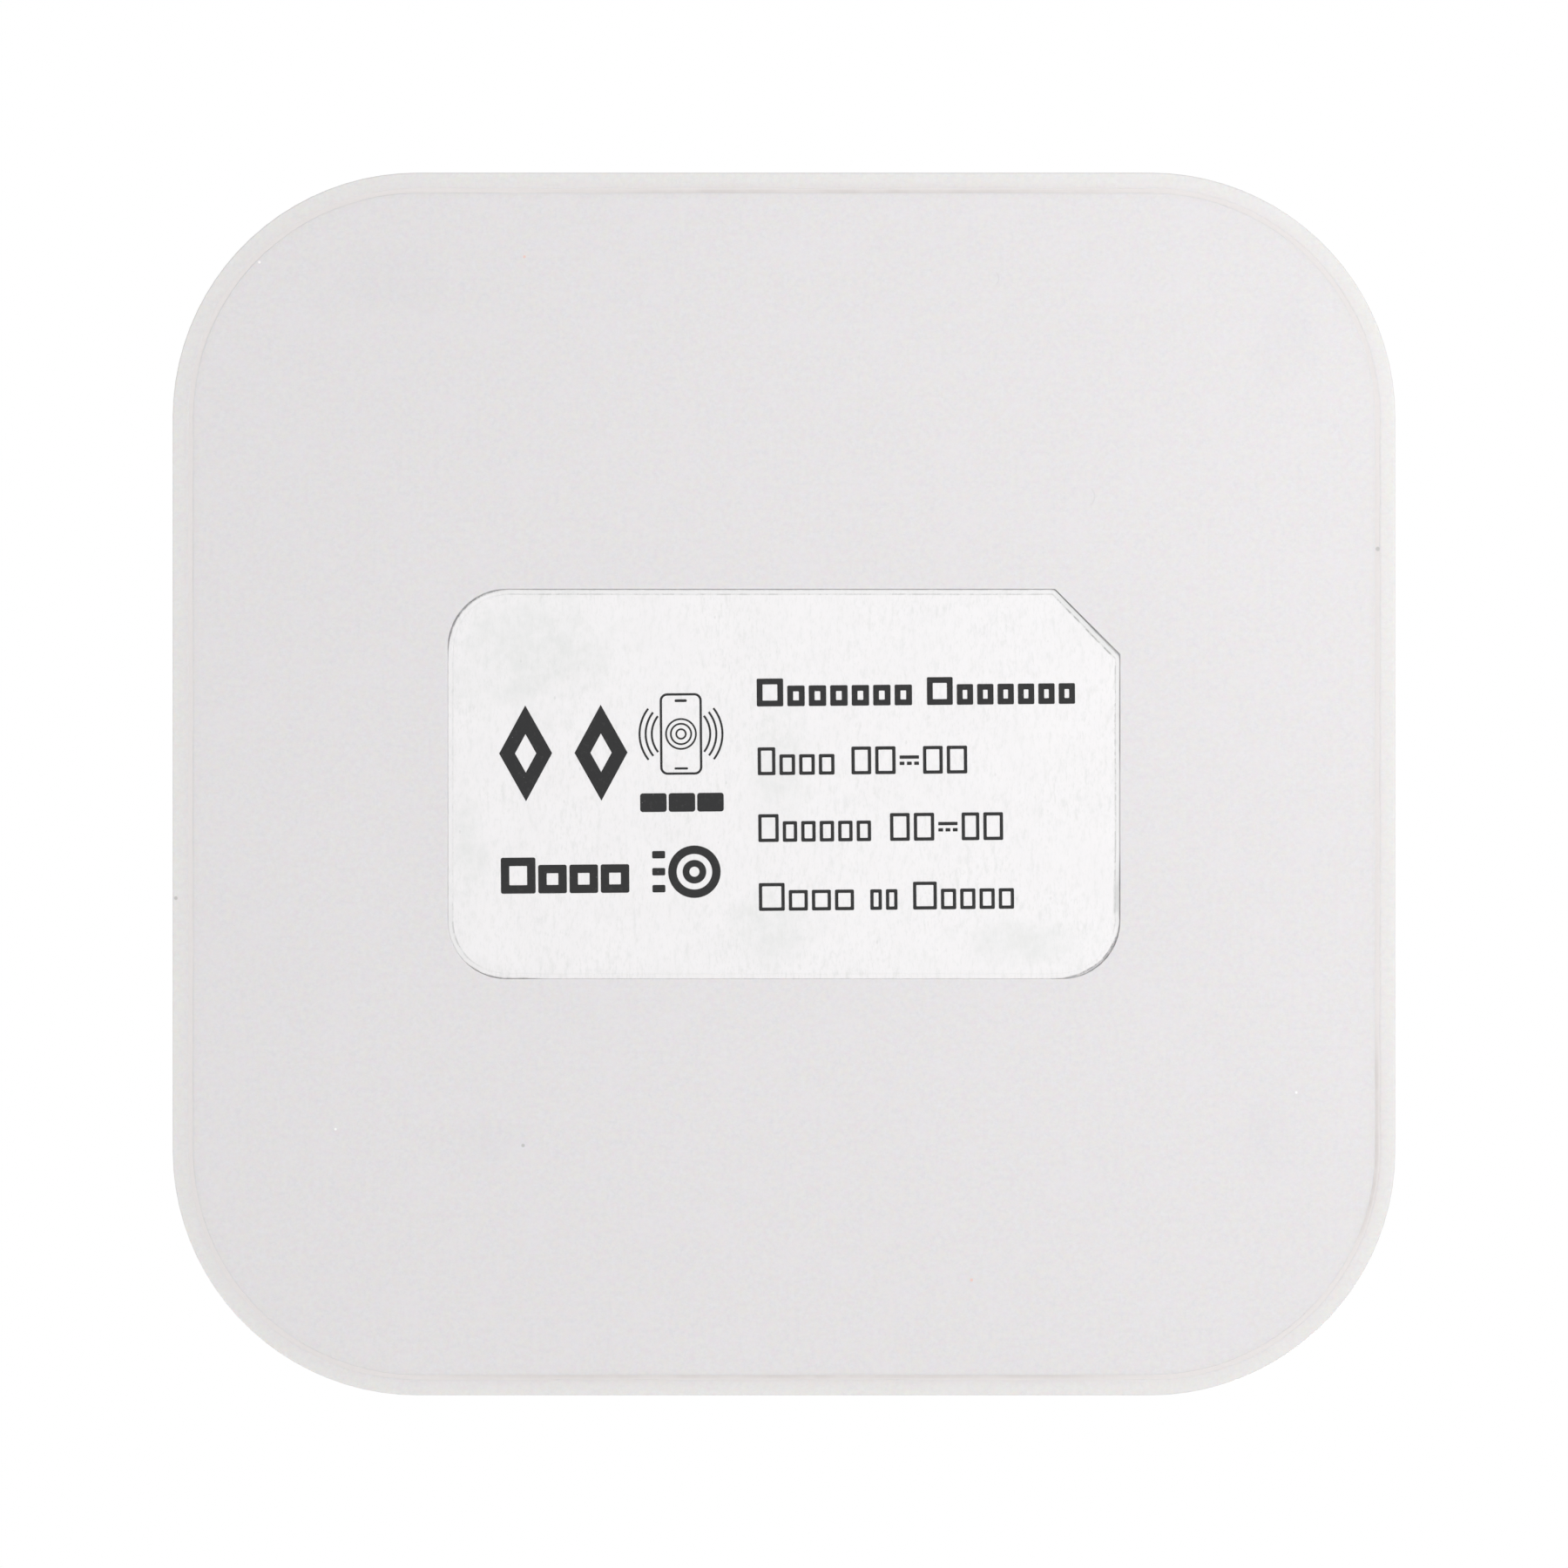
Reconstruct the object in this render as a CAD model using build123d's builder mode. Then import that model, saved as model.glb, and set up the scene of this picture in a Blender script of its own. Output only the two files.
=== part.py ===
"""Square wireless charging pad: a snap-together ABS housing with a rating label on its underside,
a flat litz coil on a ferrite disc, and a small driver board with a micro-USB input socket.

Millimetres. +Z up, with the charging face on top, and the origin at the centre of the underside.
+Y is the side that holds the USB socket.
"""

from build123d import *
from math import radians, tan
import os

# ---------------------------------------------------------------- driving dimensions
# Housing
side = 90.0  # width and depth at the underside
height = 8.5
corner_radius = 18.0
side_draft = 1.0  # degrees, so that the shell leaves its mould
top_edge_radius = 2.0
outer_rim_round = 0.12
inner_rim_round = 0.35
wall = 2.3
top_thickness = 1.6
stiffening_rib_thickness, stiffening_rib_bottom = 0.9, 5.4
stiffening_rib_angles = (180, 225, 270, 315, 0)

# Bottom cover, let into the underside
rim_width = 1.4  # the part of the shell's wall that shows round the cover
cover_gap = 0.05
cover_thickness = 1.6
cover_edge_round = 0.12

# Rating label and the pocket it is stuck in
pocket_width, pocket_depth_y = 49.5, 28.7
pocket_corner_radius = 4.3
pocket_chamfer = 4.8
pocket_sink = 0.25
label_width, label_depth_y = 49.4, 28.6
label_corner_radius = 4.25
label_chamfer = 4.8
label_thickness = 0.12

# Four corner pins that locate the cover
pin_reach = 32.0  # x and y of each pin
pin_hole_diameter = 3.0
pin_clearance = 0.03  # on the radius
pin_top, pin_hole_top = 6.0, 6.3
pin_foot_diameter, pin_foot_top = 4.0, 2.1
pin_lead = 0.5
pin_boss_diameter, pin_boss_bottom = 6.2, 2.2

# Eight snap hooks that hold the cover, two on each side
hook_offset = 20.0  # from the middle of the side
hook_width, hook_thickness = 5.0, 1.0
hook_catch_height, hook_nose_height, hook_top = 3.6, 3.9, 4.6
hook_catch = 0.5
hook_clearance = 0.15  # to the wall
hook_root_run, hook_root_rise = 0.8, 1.2
catch_margin = 0.4  # round the hook, in its pocket

# Driver board
board_bottom = 2.4
board_thickness = 1.0
board_half_width = 28.0
board_front, board_back = 14.0, 41.0
board_tab_half_width, board_tab_back = 16.8, 42.2
board_arc_radius = 27.2
board_corner = 0.5
board_hole_diameter = 2.2
support_post_diameter = 2.4
support_post_spots = [(13, 38), (-17, 38), (0, 29.5), (21, 21), (-21, 21)]

# Board screws
screw_spots = [(24, 37), (-24, 37), (25.2, 21), (-25.2, 21)]
screw_boss_diameter, screw_hole_diameter, screw_hole_top = 4.4, 1.92, 6.7
screw_diameter, screw_core, screw_point = 1.9, 1.45, 0.5
screw_head_diameter, screw_head_height, screw_crown_flat = 3.4, 0.7, 2.4
screw_length = 3.8
thread_start, thread_pitch, thread_count = 0.6, 0.55, 4
cross_length, cross_width, cross_depth = 1.9, 0.4, 0.45

# USB socket: a rectangle with bevelled lower corners
usb_width, usb_height, usb_length = 7.5, 2.5, 5.6
usb_bevel_x, usb_bevel_z = 1.1, 0.75
usb_corner, usb_inner_corner = 0.45, 0.2
usb_sheet = 0.25
usb_mouth = 44.4  # y of its open end
usb_flare, usb_flare_length = 0.22, 0.5
usb_window_width, usb_window_length, usb_window_pitch = 0.9, 1.6, 3.2
usb_leg_width, usb_leg_drop, usb_leg_y = 1.1, 0.3, 41.5
usb_leg_slot = (1.3, 0.6)
usb_opening_width, usb_opening_height, usb_opening_corner = 8.6, 3.4, 0.9
usb_opening_chamfer = 0.3
tongue_width, tongue_thickness, tongue_rise = 3.7, 0.6, 0.32
tongue_end, tongue_tip_chamfer = 43.4, 0.12
housing_block_length, housing_overhang = 1.9, 0.5
contact_count, contact_pitch = 5, 0.65
contact_width, contact_thickness = 0.38, 0.12
contact_end, contact_tail = 43.1, 0.8

# Indicator light
light_x, light_z = -12.0, 4.3
light_slot_width, light_slot_height, light_clearance = 3.4, 1.3, 0.05
light_flange_width, light_flange_height, light_flange_depth = 5.0, 1.7, 0.8
light_recess, light_edge_round = 0.05, 0.2
led_size, led_lens_radius, led_pitch = (1.6, 0.6, 0.6), 0.3, 2.2
led_gap = 0.35  # from lens to light pipe

# Coil stack, from the top plate down
coil_inner_radius, coil_outer_radius = 10.25, 22.0
wire_diameter = 1.0
full_turns = 10
outer_end_angle = 60.0  # degrees past the last full turn
mounting_tape_thickness, mounting_tape_border = 0.15, 0.5
ferrite_tape_thickness, ferrite_tape_border = 0.1, 0.5
ferrite_radius, ferrite_thickness = 25.0, 1.2
lead_slot_width, lead_slot_start = 1.6, 1.0
ring_rib_radius, ring_rib_thickness, ring_rib_bottom, ring_rib_gap = 25.5, 1.0, 4.0, 13.0
foam_radius, foam_round = 17.0, 0.3
foam_ring_gap, foam_ring_thickness, foam_ring_height = 0.3, 0.9, 0.8

# Coil leads, which run to two pads on the board
dive_end = 8.0  # y where the inner lead has sunk into the ferrite's slot
inner_drop_start, outer_drop_start, lead_drop_end, lead_stop = 26.5, 25.2, 30.0, 32.0
outer_pad_x = 4.0
solder_y, solder_foot_radius, solder_top_radius, solder_height = 31.4, 1.25, 0.75, 0.9

# Parts on the board: length, width and height, then where the middle of each group is
terminal_step = 0.03  # how far a chip's terminals stand out of its body
large_terminal, medium_terminal, small_terminal = 0.5, 0.45, 0.3
controller_size, controller_middle = (5.0, 5.0, 0.85), (-11.5, 32.5)
controller_pads, controller_pad_pitch, controller_pad = 8, 0.5, (0.25, 0.3, 0.2)
pin_one_offset, pin_one_radius, pin_one_depth = 1.7, 0.3, 0.1
transistor_size, transistor_middle, transistor_pitch = (3.2, 3.2, 0.9), (13.3, 32.3), 4.6
transistor_leads, transistor_lead_pitch, transistor_lead = 4, 0.65, (0.4, 0.5, 0.25)
resonant_size, resonant_middle, resonant_pitch, resonant_count = (3.2, 2.5, 2.0), (21.2, 28.7), 3.2, 4
input_size, input_spots = (2.0, 1.25, 1.25), [(-7.6, 38.6), (-7.6, 36.6), (7.4, 38.9)]
bypass_size, bypass_middle, bypass_pitch = (1.6, 0.8, 0.8), (-17.2, 25.8), (2.4, 1.6)
resistor_size, resistor_middle, resistor_pitch = (1.6, 0.8, 0.45), (-18.5, 32.6), (2.6, 1.5)
sense_size, sense_middle = (3.2, 1.6, 0.6), (10.6, 26.6)
regulator_size, regulator_middle, regulator_standoff = (2.9, 1.6, 1.1), (7.6, 36.2), 0.1
regulator_lead, regulator_lead_pitch, regulator_lead_reach = (0.4, 1.0, 0.25), 0.95, 1.0

# Charging-spot mark on the top face
mark_arm, mark_width, mark_sink = 8.0, 0.8, 0.15

# ---------------------------------------------------------------- sizes that follow
rebate_side = side - 2 * rim_width
rebate_radius = corner_radius - rim_width
cover_side = rebate_side - 2 * cover_gap
cover_radius = rebate_radius - cover_gap
cavity_side = side - 2 * wall
cavity_radius = corner_radius - wall
cavity_half = cavity_side / 2
cavity_top = height - top_thickness
hook_face = cavity_half - hook_clearance

board_top = board_bottom + board_thickness
screw_tip = board_bottom + screw_length
screw_crown = board_bottom - screw_head_height
usb_middle_z = board_top + usb_height / 2
usb_back = usb_mouth - usb_length
wall_face_at_light = side / 2 - light_z * tan(radians(side_draft))

coil_top = cavity_top - mounting_tape_thickness
coil_z = coil_top - wire_diameter / 2
coil_bottom = coil_top - wire_diameter
ferrite_top = coil_bottom - ferrite_tape_thickness
ferrite_bottom = ferrite_top - ferrite_thickness
lead_slot_z = ferrite_top - ferrite_thickness / 2
lead_pad_z = board_top + wire_diameter / 2

pin_spots = [(x, y) for x in (-pin_reach, pin_reach) for y in (-pin_reach, pin_reach)]
hook_spots = [(-hook_offset, 0), (hook_offset, 0)]

os.makedirs("parts", exist_ok=True)


# ---------------------------------------------------------------- shared shapes
def tall_box(width, depth, low, high, center=(0, 0)):
    """Adds a box to the part being built, from height low to height high."""
    with Locations((*center, low)):
        Box(width, depth, high - low, align=(Align.CENTER, Align.CENTER, Align.MIN))


def round_post(diameter, low, high, mode=Mode.ADD):
    """Adds or cuts an upright cylinder at each location in force, from height low to height high."""
    with Locations((0, 0, low)):
        Cylinder(
            diameter / 2, high - low, align=(Align.CENTER, Align.CENTER, Align.MIN), mode=mode
        )


def clipped_card(width, depth, radius, clip):
    """The outline of a card with three round corners and one clipped one, at -X +Y."""
    x, y = width / 2, depth / 2
    with BuildSketch() as card:
        with BuildLine():
            Polyline((clip - x, y), (x, y), (x, -y), (-x, -y), (-x, y - clip), close=True)
        make_face()
        clipped = card.vertices().sort_by_distance((-x, y, 0))[:2]
        fillet([corner for corner in card.vertices() if corner not in clipped], radius)
    return card.sketch


def socket_outline(inset, radius=usb_corner):
    """The micro-USB socket's outline, shrunk by inset, for a sketch in a plane parallel to XZ."""
    x = usb_width / 2 - inset
    low = usb_middle_z - usb_height / 2 + inset
    high = usb_middle_z + usb_height / 2 - inset
    with BuildSketch() as outline:
        with BuildLine():
            Polyline(
                (x - usb_bevel_x, low),
                (x, low + usb_bevel_z),
                (x, high),
                (-x, high),
                (-x, low + usb_bevel_z),
                (usb_bevel_x - x, low),
                close=True,
            )
        make_face()
        fillet(outline.vertices(), radius)
    return outline.sketch


def terminal_chip(size, terminal):
    """Adds a chip with a terminal at each end, standing on the board at each location in force."""
    length, width, tall = size
    body_length, body_width = length - terminal_step, width - 2 * terminal_step
    tall_box(body_length, body_width, board_top + terminal_step, board_top + tall - terminal_step)
    for direction in (-1, 1):
        end_x = direction * (length - terminal) / 2
        tall_box(terminal, width, board_top, board_top + tall, (end_x, 0))


# ---------------------------------------------------------------- snap hook
# One hook for the +Y side of the cover, standing at x = 0 with its nose pointing outwards.
with BuildPart() as snap_hook:
    hook_back = hook_face - hook_thickness
    with BuildSketch(Plane.YZ):
        with BuildLine():
            Polyline(
                (hook_back, cover_thickness),
                (hook_face, cover_thickness),
                (hook_face, hook_catch_height),
                (hook_face + hook_catch, hook_catch_height + hook_clearance),
                (hook_face + hook_catch, hook_nose_height),
                (hook_face - hook_clearance, hook_top),
                (hook_back, hook_top),
                close=True,
            )
        make_face()
    extrude(amount=hook_width / 2, both=True)
    # A rib at its root keeps the hook from snapping off.
    with BuildSketch(Plane.YZ):
        with BuildLine():
            Polyline(
                (hook_back, cover_thickness),
                (hook_back - hook_root_run, cover_thickness),
                (hook_back, cover_thickness + hook_root_rise),
                close=True,
            )
        make_face()
    extrude(amount=hook_thickness / 2, both=True)


# ---------------------------------------------------------------- top shell
with BuildPart() as top_shell:
    with BuildSketch():
        RectangleRounded(side, side, corner_radius)
    extrude(amount=height, taper=side_draft)
    fillet(top_shell.faces().sort_by(Axis.Z)[-1].edges(), top_edge_radius)

    # The rebate for the cover, then the cavity, which leaves a ledge that the cover sits on.
    with BuildSketch():
        RectangleRounded(rebate_side, rebate_side, rebate_radius)
    extrude(amount=cover_thickness, mode=Mode.SUBTRACT)
    rim_face = top_shell.faces().sort_by(Axis.Z)[0]
    rim_outer_edges = rim_face.outer_wire().edges()
    rim_inner_edges = rim_face.inner_wires()[0].edges()
    fillet(rim_outer_edges, outer_rim_round)
    fillet(rim_inner_edges, inner_rim_round)
    with BuildSketch(Plane.XY.offset(cover_thickness)):
        RectangleRounded(cavity_side, cavity_side, cavity_radius)
    extrude(amount=cavity_top - cover_thickness, mode=Mode.SUBTRACT)

    # Catches for the eight snap hooks.
    catch_height = hook_top - hook_catch_height + catch_margin
    with PolarLocations(0, 4):
        with Locations(*hook_spots):
            with Locations((0, cavity_half, (hook_top + hook_catch_height) / 2)):
                Box(
                    hook_width + 2 * catch_margin,
                    2 * (hook_catch + catch_margin),
                    catch_height,
                    mode=Mode.SUBTRACT,
                )

    # Ring rib round the ferrite, with a gap for the coil's leads, and ribs that stiffen the plate.
    with BuildSketch(Plane.XY.offset(ring_rib_bottom)):
        Circle(ring_rib_radius + ring_rib_thickness)
        Circle(ring_rib_radius, mode=Mode.SUBTRACT)
        with Locations((0, ring_rib_radius)):
            Rectangle(ring_rib_gap, 6 * ring_rib_thickness, mode=Mode.SUBTRACT)
    extrude(amount=cavity_top - ring_rib_bottom)
    rib_start = ring_rib_radius + ring_rib_thickness / 2
    for angle in stiffening_rib_angles:
        rib_end = cavity_half if angle % 90 == 0 else pin_reach * 2**0.5
        with Locations(Rot(Z=angle) * Pos(X=(rib_start + rib_end) / 2)):
            tall_box(
                rib_end - rib_start, stiffening_rib_thickness, stiffening_rib_bottom, cavity_top
            )

    # Sockets for the cover's four pins.
    with Locations(*pin_spots):
        round_post(pin_boss_diameter, pin_boss_bottom, cavity_top)
    with Locations(*pin_spots):
        round_post(pin_hole_diameter, pin_boss_bottom, pin_hole_top, mode=Mode.SUBTRACT)

    # Screw bosses for the board.
    with Locations(*screw_spots):
        round_post(screw_boss_diameter, board_top, cavity_top)
    with Locations(*screw_spots):
        round_post(screw_hole_diameter, board_top, screw_hole_top, mode=Mode.SUBTRACT)

    # Openings in the wall for the USB socket and the indicator's light pipe.
    with BuildSketch(Plane.XZ.offset(-side / 2)):
        with Locations((0, usb_middle_z)):
            RectangleRounded(usb_opening_width, usb_opening_height, usb_opening_corner)
        with Locations((light_x, light_z)):
            SlotOverall(
                light_slot_width + 2 * light_clearance, light_slot_height + 2 * light_clearance
            )
    extrude(amount=wall, both=True, mode=Mode.SUBTRACT)
    usb_mouth_edges = (
        top_shell.edges()
        .filter_by_position(Axis.Y, side / 2 - top_edge_radius / 4, side / 2)
        .filter_by_position(Axis.X, -usb_opening_width / 2, usb_opening_width / 2)
        .filter_by_position(Axis.Z, outer_rim_round * 2, height - top_edge_radius)
    )
    chamfer(usb_mouth_edges, usb_opening_chamfer)

    # Plus-shaped mark over the coil's centre.
    with BuildSketch(Plane.XY.offset(height)):
        SlotOverall(mark_arm, mark_width)
        SlotOverall(mark_arm, mark_width, rotation=90)
    extrude(amount=-mark_sink, mode=Mode.SUBTRACT)


# ---------------------------------------------------------------- bottom cover
with BuildPart() as bottom_cover:
    with BuildSketch():
        RectangleRounded(cover_side, cover_side, cover_radius)
    extrude(amount=cover_thickness)
    fillet(bottom_cover.faces().sort_by(Axis.Z)[0].edges(), cover_edge_round)

    # Pocket for the label.
    with BuildSketch():
        add(clipped_card(pocket_width, pocket_depth_y, pocket_corner_radius, pocket_chamfer))
    extrude(amount=pocket_sink, mode=Mode.SUBTRACT)

    # Pins for the corner sockets, each with a foot and a chamfered lead.
    with Locations(*pin_spots):
        round_post(pin_foot_diameter, cover_thickness, pin_foot_top)
    with Locations(*pin_spots):
        round_post(pin_hole_diameter - 2 * pin_clearance, cover_thickness, pin_top)
    chamfer(bottom_cover.faces().group_by(Axis.Z)[-1].edges(), pin_lead)

    # Eight snap hooks, two on each side.
    with PolarLocations(0, 4):
        with Locations(*hook_spots):
            add(snap_hook.part)

    # Ring that keeps the foam in place, and posts that hold the board against its bosses.
    with BuildSketch(Plane.XY.offset(cover_thickness)):
        Circle(foam_radius + foam_ring_gap + foam_ring_thickness)
        Circle(foam_radius + foam_ring_gap, mode=Mode.SUBTRACT)
    extrude(amount=foam_ring_height)
    with Locations(*support_post_spots):
        round_post(support_post_diameter, cover_thickness, board_bottom)


# ---------------------------------------------------------------- rating label
with BuildPart() as rating_label:
    with BuildSketch(Plane.XY.offset(pocket_sink - label_thickness)):
        add(clipped_card(label_width, label_depth_y, label_corner_radius, label_chamfer))
    extrude(amount=label_thickness)


# ---------------------------------------------------------------- indicator light pipe
with BuildPart() as light_pipe:
    with BuildSketch(Plane.XZ.offset(-cavity_half)):
        with Locations((light_x, light_z)):
            SlotOverall(light_slot_width, light_slot_height)
    extrude(amount=-(wall_face_at_light - light_recess - cavity_half))
    fillet(light_pipe.faces().sort_by(Axis.Y)[-1].edges(), light_edge_round)
    with Locations((light_x, cavity_half, light_z)):
        Box(
            light_flange_width,
            light_flange_depth,
            light_flange_height,
            align=(Align.CENTER, Align.MAX, Align.CENTER),
        )


# ---------------------------------------------------------------- driver board
with BuildPart() as main_pcb:
    with BuildSketch(Plane.XY.offset(board_bottom)) as board_outline:
        with Locations((0, board_back)):
            Rectangle(
                2 * board_half_width, board_back - board_front, align=(Align.CENTER, Align.MAX)
            )
        with Locations((0, board_tab_back)):
            Rectangle(
                2 * board_tab_half_width,
                board_tab_back - board_front,
                align=(Align.CENTER, Align.MAX),
            )
        Circle(board_arc_radius, mode=Mode.SUBTRACT)
        fillet(board_outline.vertices(), board_corner)
        with Locations(*screw_spots):
            Circle(board_hole_diameter / 2, mode=Mode.SUBTRACT)
        # Slots for the socket's legs.
        with Locations((0, usb_leg_y)):
            with GridLocations(usb_width - usb_sheet, 0, 2, 1):
                SlotOverall(*usb_leg_slot, rotation=90, mode=Mode.SUBTRACT)
    extrude(amount=board_thickness)


# ---------------------------------------------------------------- board screws
# A pan-head thread-forming screw, its threads drawn as rings. Half its outline is revolved.
with BuildPart() as pcb_screw:
    thread_outline = []
    for turn in range(thread_count):
        ring_z = board_bottom + thread_start + turn * thread_pitch
        thread_outline += [
            (screw_core / 2, ring_z),
            (screw_diameter / 2, ring_z + thread_pitch / 2),
        ]
    with BuildSketch(Plane.XZ):
        with BuildLine():
            Line((0, screw_crown), (screw_crown_flat / 2, screw_crown))
            RadiusArc(
                (screw_crown_flat / 2, screw_crown),
                (screw_head_diameter / 2, board_bottom),
                screw_head_height,
            )
            Polyline(
                (screw_head_diameter / 2, board_bottom),
                (screw_diameter / 2, board_bottom),
                *thread_outline,
                (screw_core / 2, screw_tip - screw_point),
                (screw_core / 4, screw_tip),
                (0, screw_tip),
                (0, screw_crown),
            )
        make_face()
    revolve(axis=Axis.Z)
    # Cross recess in the head.
    with BuildSketch(Plane.XY.offset(screw_crown)):
        Rectangle(cross_length, cross_width)
        Rectangle(cross_width, cross_length)
    extrude(amount=cross_depth, mode=Mode.SUBTRACT)

with BuildPart() as pcb_screws:
    with Locations(*screw_spots):
        add(pcb_screw.part)


# ---------------------------------------------------------------- USB socket
with BuildPart() as usb_shell:
    # The tube and its flared mouth, first solid and then hollowed.
    for inset, radius, mode in ((0, usb_corner, Mode.ADD), (usb_sheet, usb_inner_corner, Mode.SUBTRACT)):
        with BuildSketch(Plane.XZ.offset(-usb_back)):
            add(socket_outline(inset, radius))
        extrude(amount=usb_flare_length - usb_length, mode=mode)
        with BuildSketch(Plane.XZ.offset(usb_flare_length - usb_mouth)):
            add(socket_outline(inset, radius))
        with BuildSketch(Plane.XZ.offset(-usb_mouth)):
            add(socket_outline(inset - usb_flare, radius))
        loft(mode=mode)
    # Two windows in the top, where the plug's latches rest.
    with Locations((0, usb_back + usb_length / 2, usb_middle_z + usb_height / 2)):
        with GridLocations(usb_window_pitch, 0, 2, 1):
            Box(usb_window_width, usb_window_length, usb_height / 2, mode=Mode.SUBTRACT)
    # A leg through the board on each side.
    for direction in (-1, 1):
        leg_middle = (direction * (usb_width - usb_sheet) / 2, usb_leg_y)
        tall_box(usb_sheet, usb_leg_width, board_bottom - usb_leg_drop, usb_middle_z, leg_middle)

tongue_low = usb_middle_z + tongue_rise - tongue_thickness / 2
housing_back = usb_back - housing_overhang
with BuildPart() as usb_contacts:
    # Each contact runs under the tongue, then down behind the socket and back along the board.
    drop_back = housing_back + contact_thickness
    drop_front = drop_back + contact_thickness
    for index in range(contact_count):
        contact_x = (index - (contact_count - 1) / 2) * contact_pitch
        with BuildSketch(Plane.YZ.offset(contact_x)):
            with BuildLine():
                Polyline(
                    (contact_end, tongue_low),
                    (drop_back, tongue_low),
                    (drop_back, board_top + contact_thickness),
                    (drop_back - contact_tail, board_top + contact_thickness),
                    (drop_back - contact_tail, board_top),
                    (drop_front, board_top),
                    (drop_front, tongue_low - contact_thickness),
                    (contact_end, tongue_low - contact_thickness),
                    close=True,
                )
            make_face()
        extrude(amount=contact_width / 2, both=True)

with BuildPart() as usb_tongue:
    with BuildSketch(Plane.XZ.offset(-housing_back)):
        add(socket_outline(usb_sheet + terminal_step, usb_inner_corner))
    extrude(amount=-housing_block_length)
    with BuildSketch(Plane.XZ.offset(-housing_back)):
        with Locations((0, usb_middle_z + tongue_rise)):
            Rectangle(tongue_width, tongue_thickness)
    extrude(amount=housing_back - tongue_end)
    chamfer(usb_tongue.faces().sort_by(Axis.Y)[-1].edges(), tongue_tip_chamfer)
    add(usb_contacts.part, mode=Mode.SUBTRACT)


# ---------------------------------------------------------------- coil winding
# The flat spiral is a chain of half circles whose centres take turns at x = 0 and x = half a pitch.
start_radius = coil_inner_radius + wire_diameter / 2
end_radius = coil_outer_radius - wire_diameter / 2
turn_pitch = (end_radius - start_radius) / full_turns

with BuildPart() as coil_winding:
    with BuildLine(Plane.XY.offset(coil_z)) as winding_path:
        for turn in range(full_turns):
            turn_radius = start_radius + turn * turn_pitch
            CenterArc((0, 0), turn_radius, 0, 180)
            CenterArc((turn_pitch / 2, 0), turn_radius + turn_pitch / 2, 180, 180)
        CenterArc((0, 0), end_radius, 0, outer_end_angle)
    with BuildSketch(Plane(origin=(start_radius, 0, coil_z), z_dir=(0, 1, 0))):
        Circle(wire_diameter / 2)
    sweep(path=winding_path.line)


# ---------------------------------------------------------------- coil leads
# The inner lead loops back through the coil's eye and leaves along the ferrite's slot.
# The outer lead swings off the last turn, clears the ferrite's edge and drops onto the board.
inner_end = Vector(start_radius, 0, coil_z)
outer_end = Vector(end_radius, 0, coil_z).rotate(Axis.Z, outer_end_angle)
outer_tangent = Vector(0, 1, 0).rotate(Axis.Z, outer_end_angle)
straight_out = (0, 1, 0)

with BuildPart() as coil_leads:
    with BuildLine() as inner_lead_path:
        loop = Spline(
            inner_end,
            (start_radius / 2, -start_radius / 2, coil_z),
            (0, 0, coil_z),
            tangents=((0, -1, 0), straight_out),
        )
        dive = Spline(
            loop @ 1, (0, dive_end, lead_slot_z), tangents=(straight_out, straight_out)
        )
        run = Line(dive @ 1, (0, inner_drop_start, lead_slot_z))
        drop = Spline(
            run @ 1, (0, lead_drop_end, lead_pad_z), tangents=(straight_out, straight_out)
        )
        Line(drop @ 1, (0, lead_stop, lead_pad_z))
    with BuildSketch(Plane(origin=loop @ 0, z_dir=loop % 0)):
        Circle(wire_diameter / 2)
    sweep(path=inner_lead_path.line)
    with BuildLine() as outer_lead_path:
        swing = Spline(
            outer_end,
            (outer_pad_x, outer_drop_start, coil_z),
            tangents=(outer_tangent, straight_out),
        )
        fall = Spline(
            swing @ 1,
            (outer_pad_x, lead_drop_end, lead_pad_z),
            tangents=(straight_out, straight_out),
        )
        Line(fall @ 1, (outer_pad_x, lead_stop, lead_pad_z))
    with BuildSketch(Plane(origin=swing @ 0, z_dir=swing % 0)):
        Circle(wire_diameter / 2)
    sweep(path=outer_lead_path.line)


# ---------------------------------------------------------------- solder on the coil's leads
with BuildPart() as lead_solder_joints:
    with Locations((0, solder_y, board_top), (outer_pad_x, solder_y, board_top)):
        Cone(
            solder_foot_radius,
            solder_top_radius,
            solder_height,
            align=(Align.CENTER, Align.CENTER, Align.MIN),
        )
    add(coil_leads.part, mode=Mode.SUBTRACT)


# ---------------------------------------------------------------- coil tapes, ferrite and foam
with BuildPart() as coil_mounting_tape:
    with BuildSketch(Plane.XY.offset(coil_top)):
        Circle(coil_outer_radius + mounting_tape_border)
        Circle(coil_inner_radius - mounting_tape_border, mode=Mode.SUBTRACT)
    extrude(amount=mounting_tape_thickness)

with BuildPart() as ferrite_tape:
    with BuildSketch(Plane.XY.offset(ferrite_top)):
        Circle(ferrite_radius - ferrite_tape_border)
        Circle(coil_inner_radius - mounting_tape_border, mode=Mode.SUBTRACT)
        Rectangle(
            lead_slot_width,
            2 * ferrite_radius,
            align=(Align.CENTER, Align.MIN),
            mode=Mode.SUBTRACT,
        )
    extrude(amount=ferrite_tape_thickness)

with BuildPart() as ferrite_shield:
    with BuildSketch(Plane.XY.offset(ferrite_bottom)):
        Circle(ferrite_radius)
        with Locations((0, lead_slot_start + ferrite_radius)):
            SlotOverall(
                2 * ferrite_radius, lead_slot_width, rotation=90, mode=Mode.SUBTRACT
            )
    extrude(amount=ferrite_thickness)

with BuildPart() as foam_pad:
    with BuildSketch(Plane.XY.offset(cover_thickness)):
        Circle(foam_radius)
    extrude(amount=ferrite_bottom - cover_thickness)
    fillet(foam_pad.faces().filter_by(GeomType.CYLINDER).edges(), foam_round)


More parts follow.
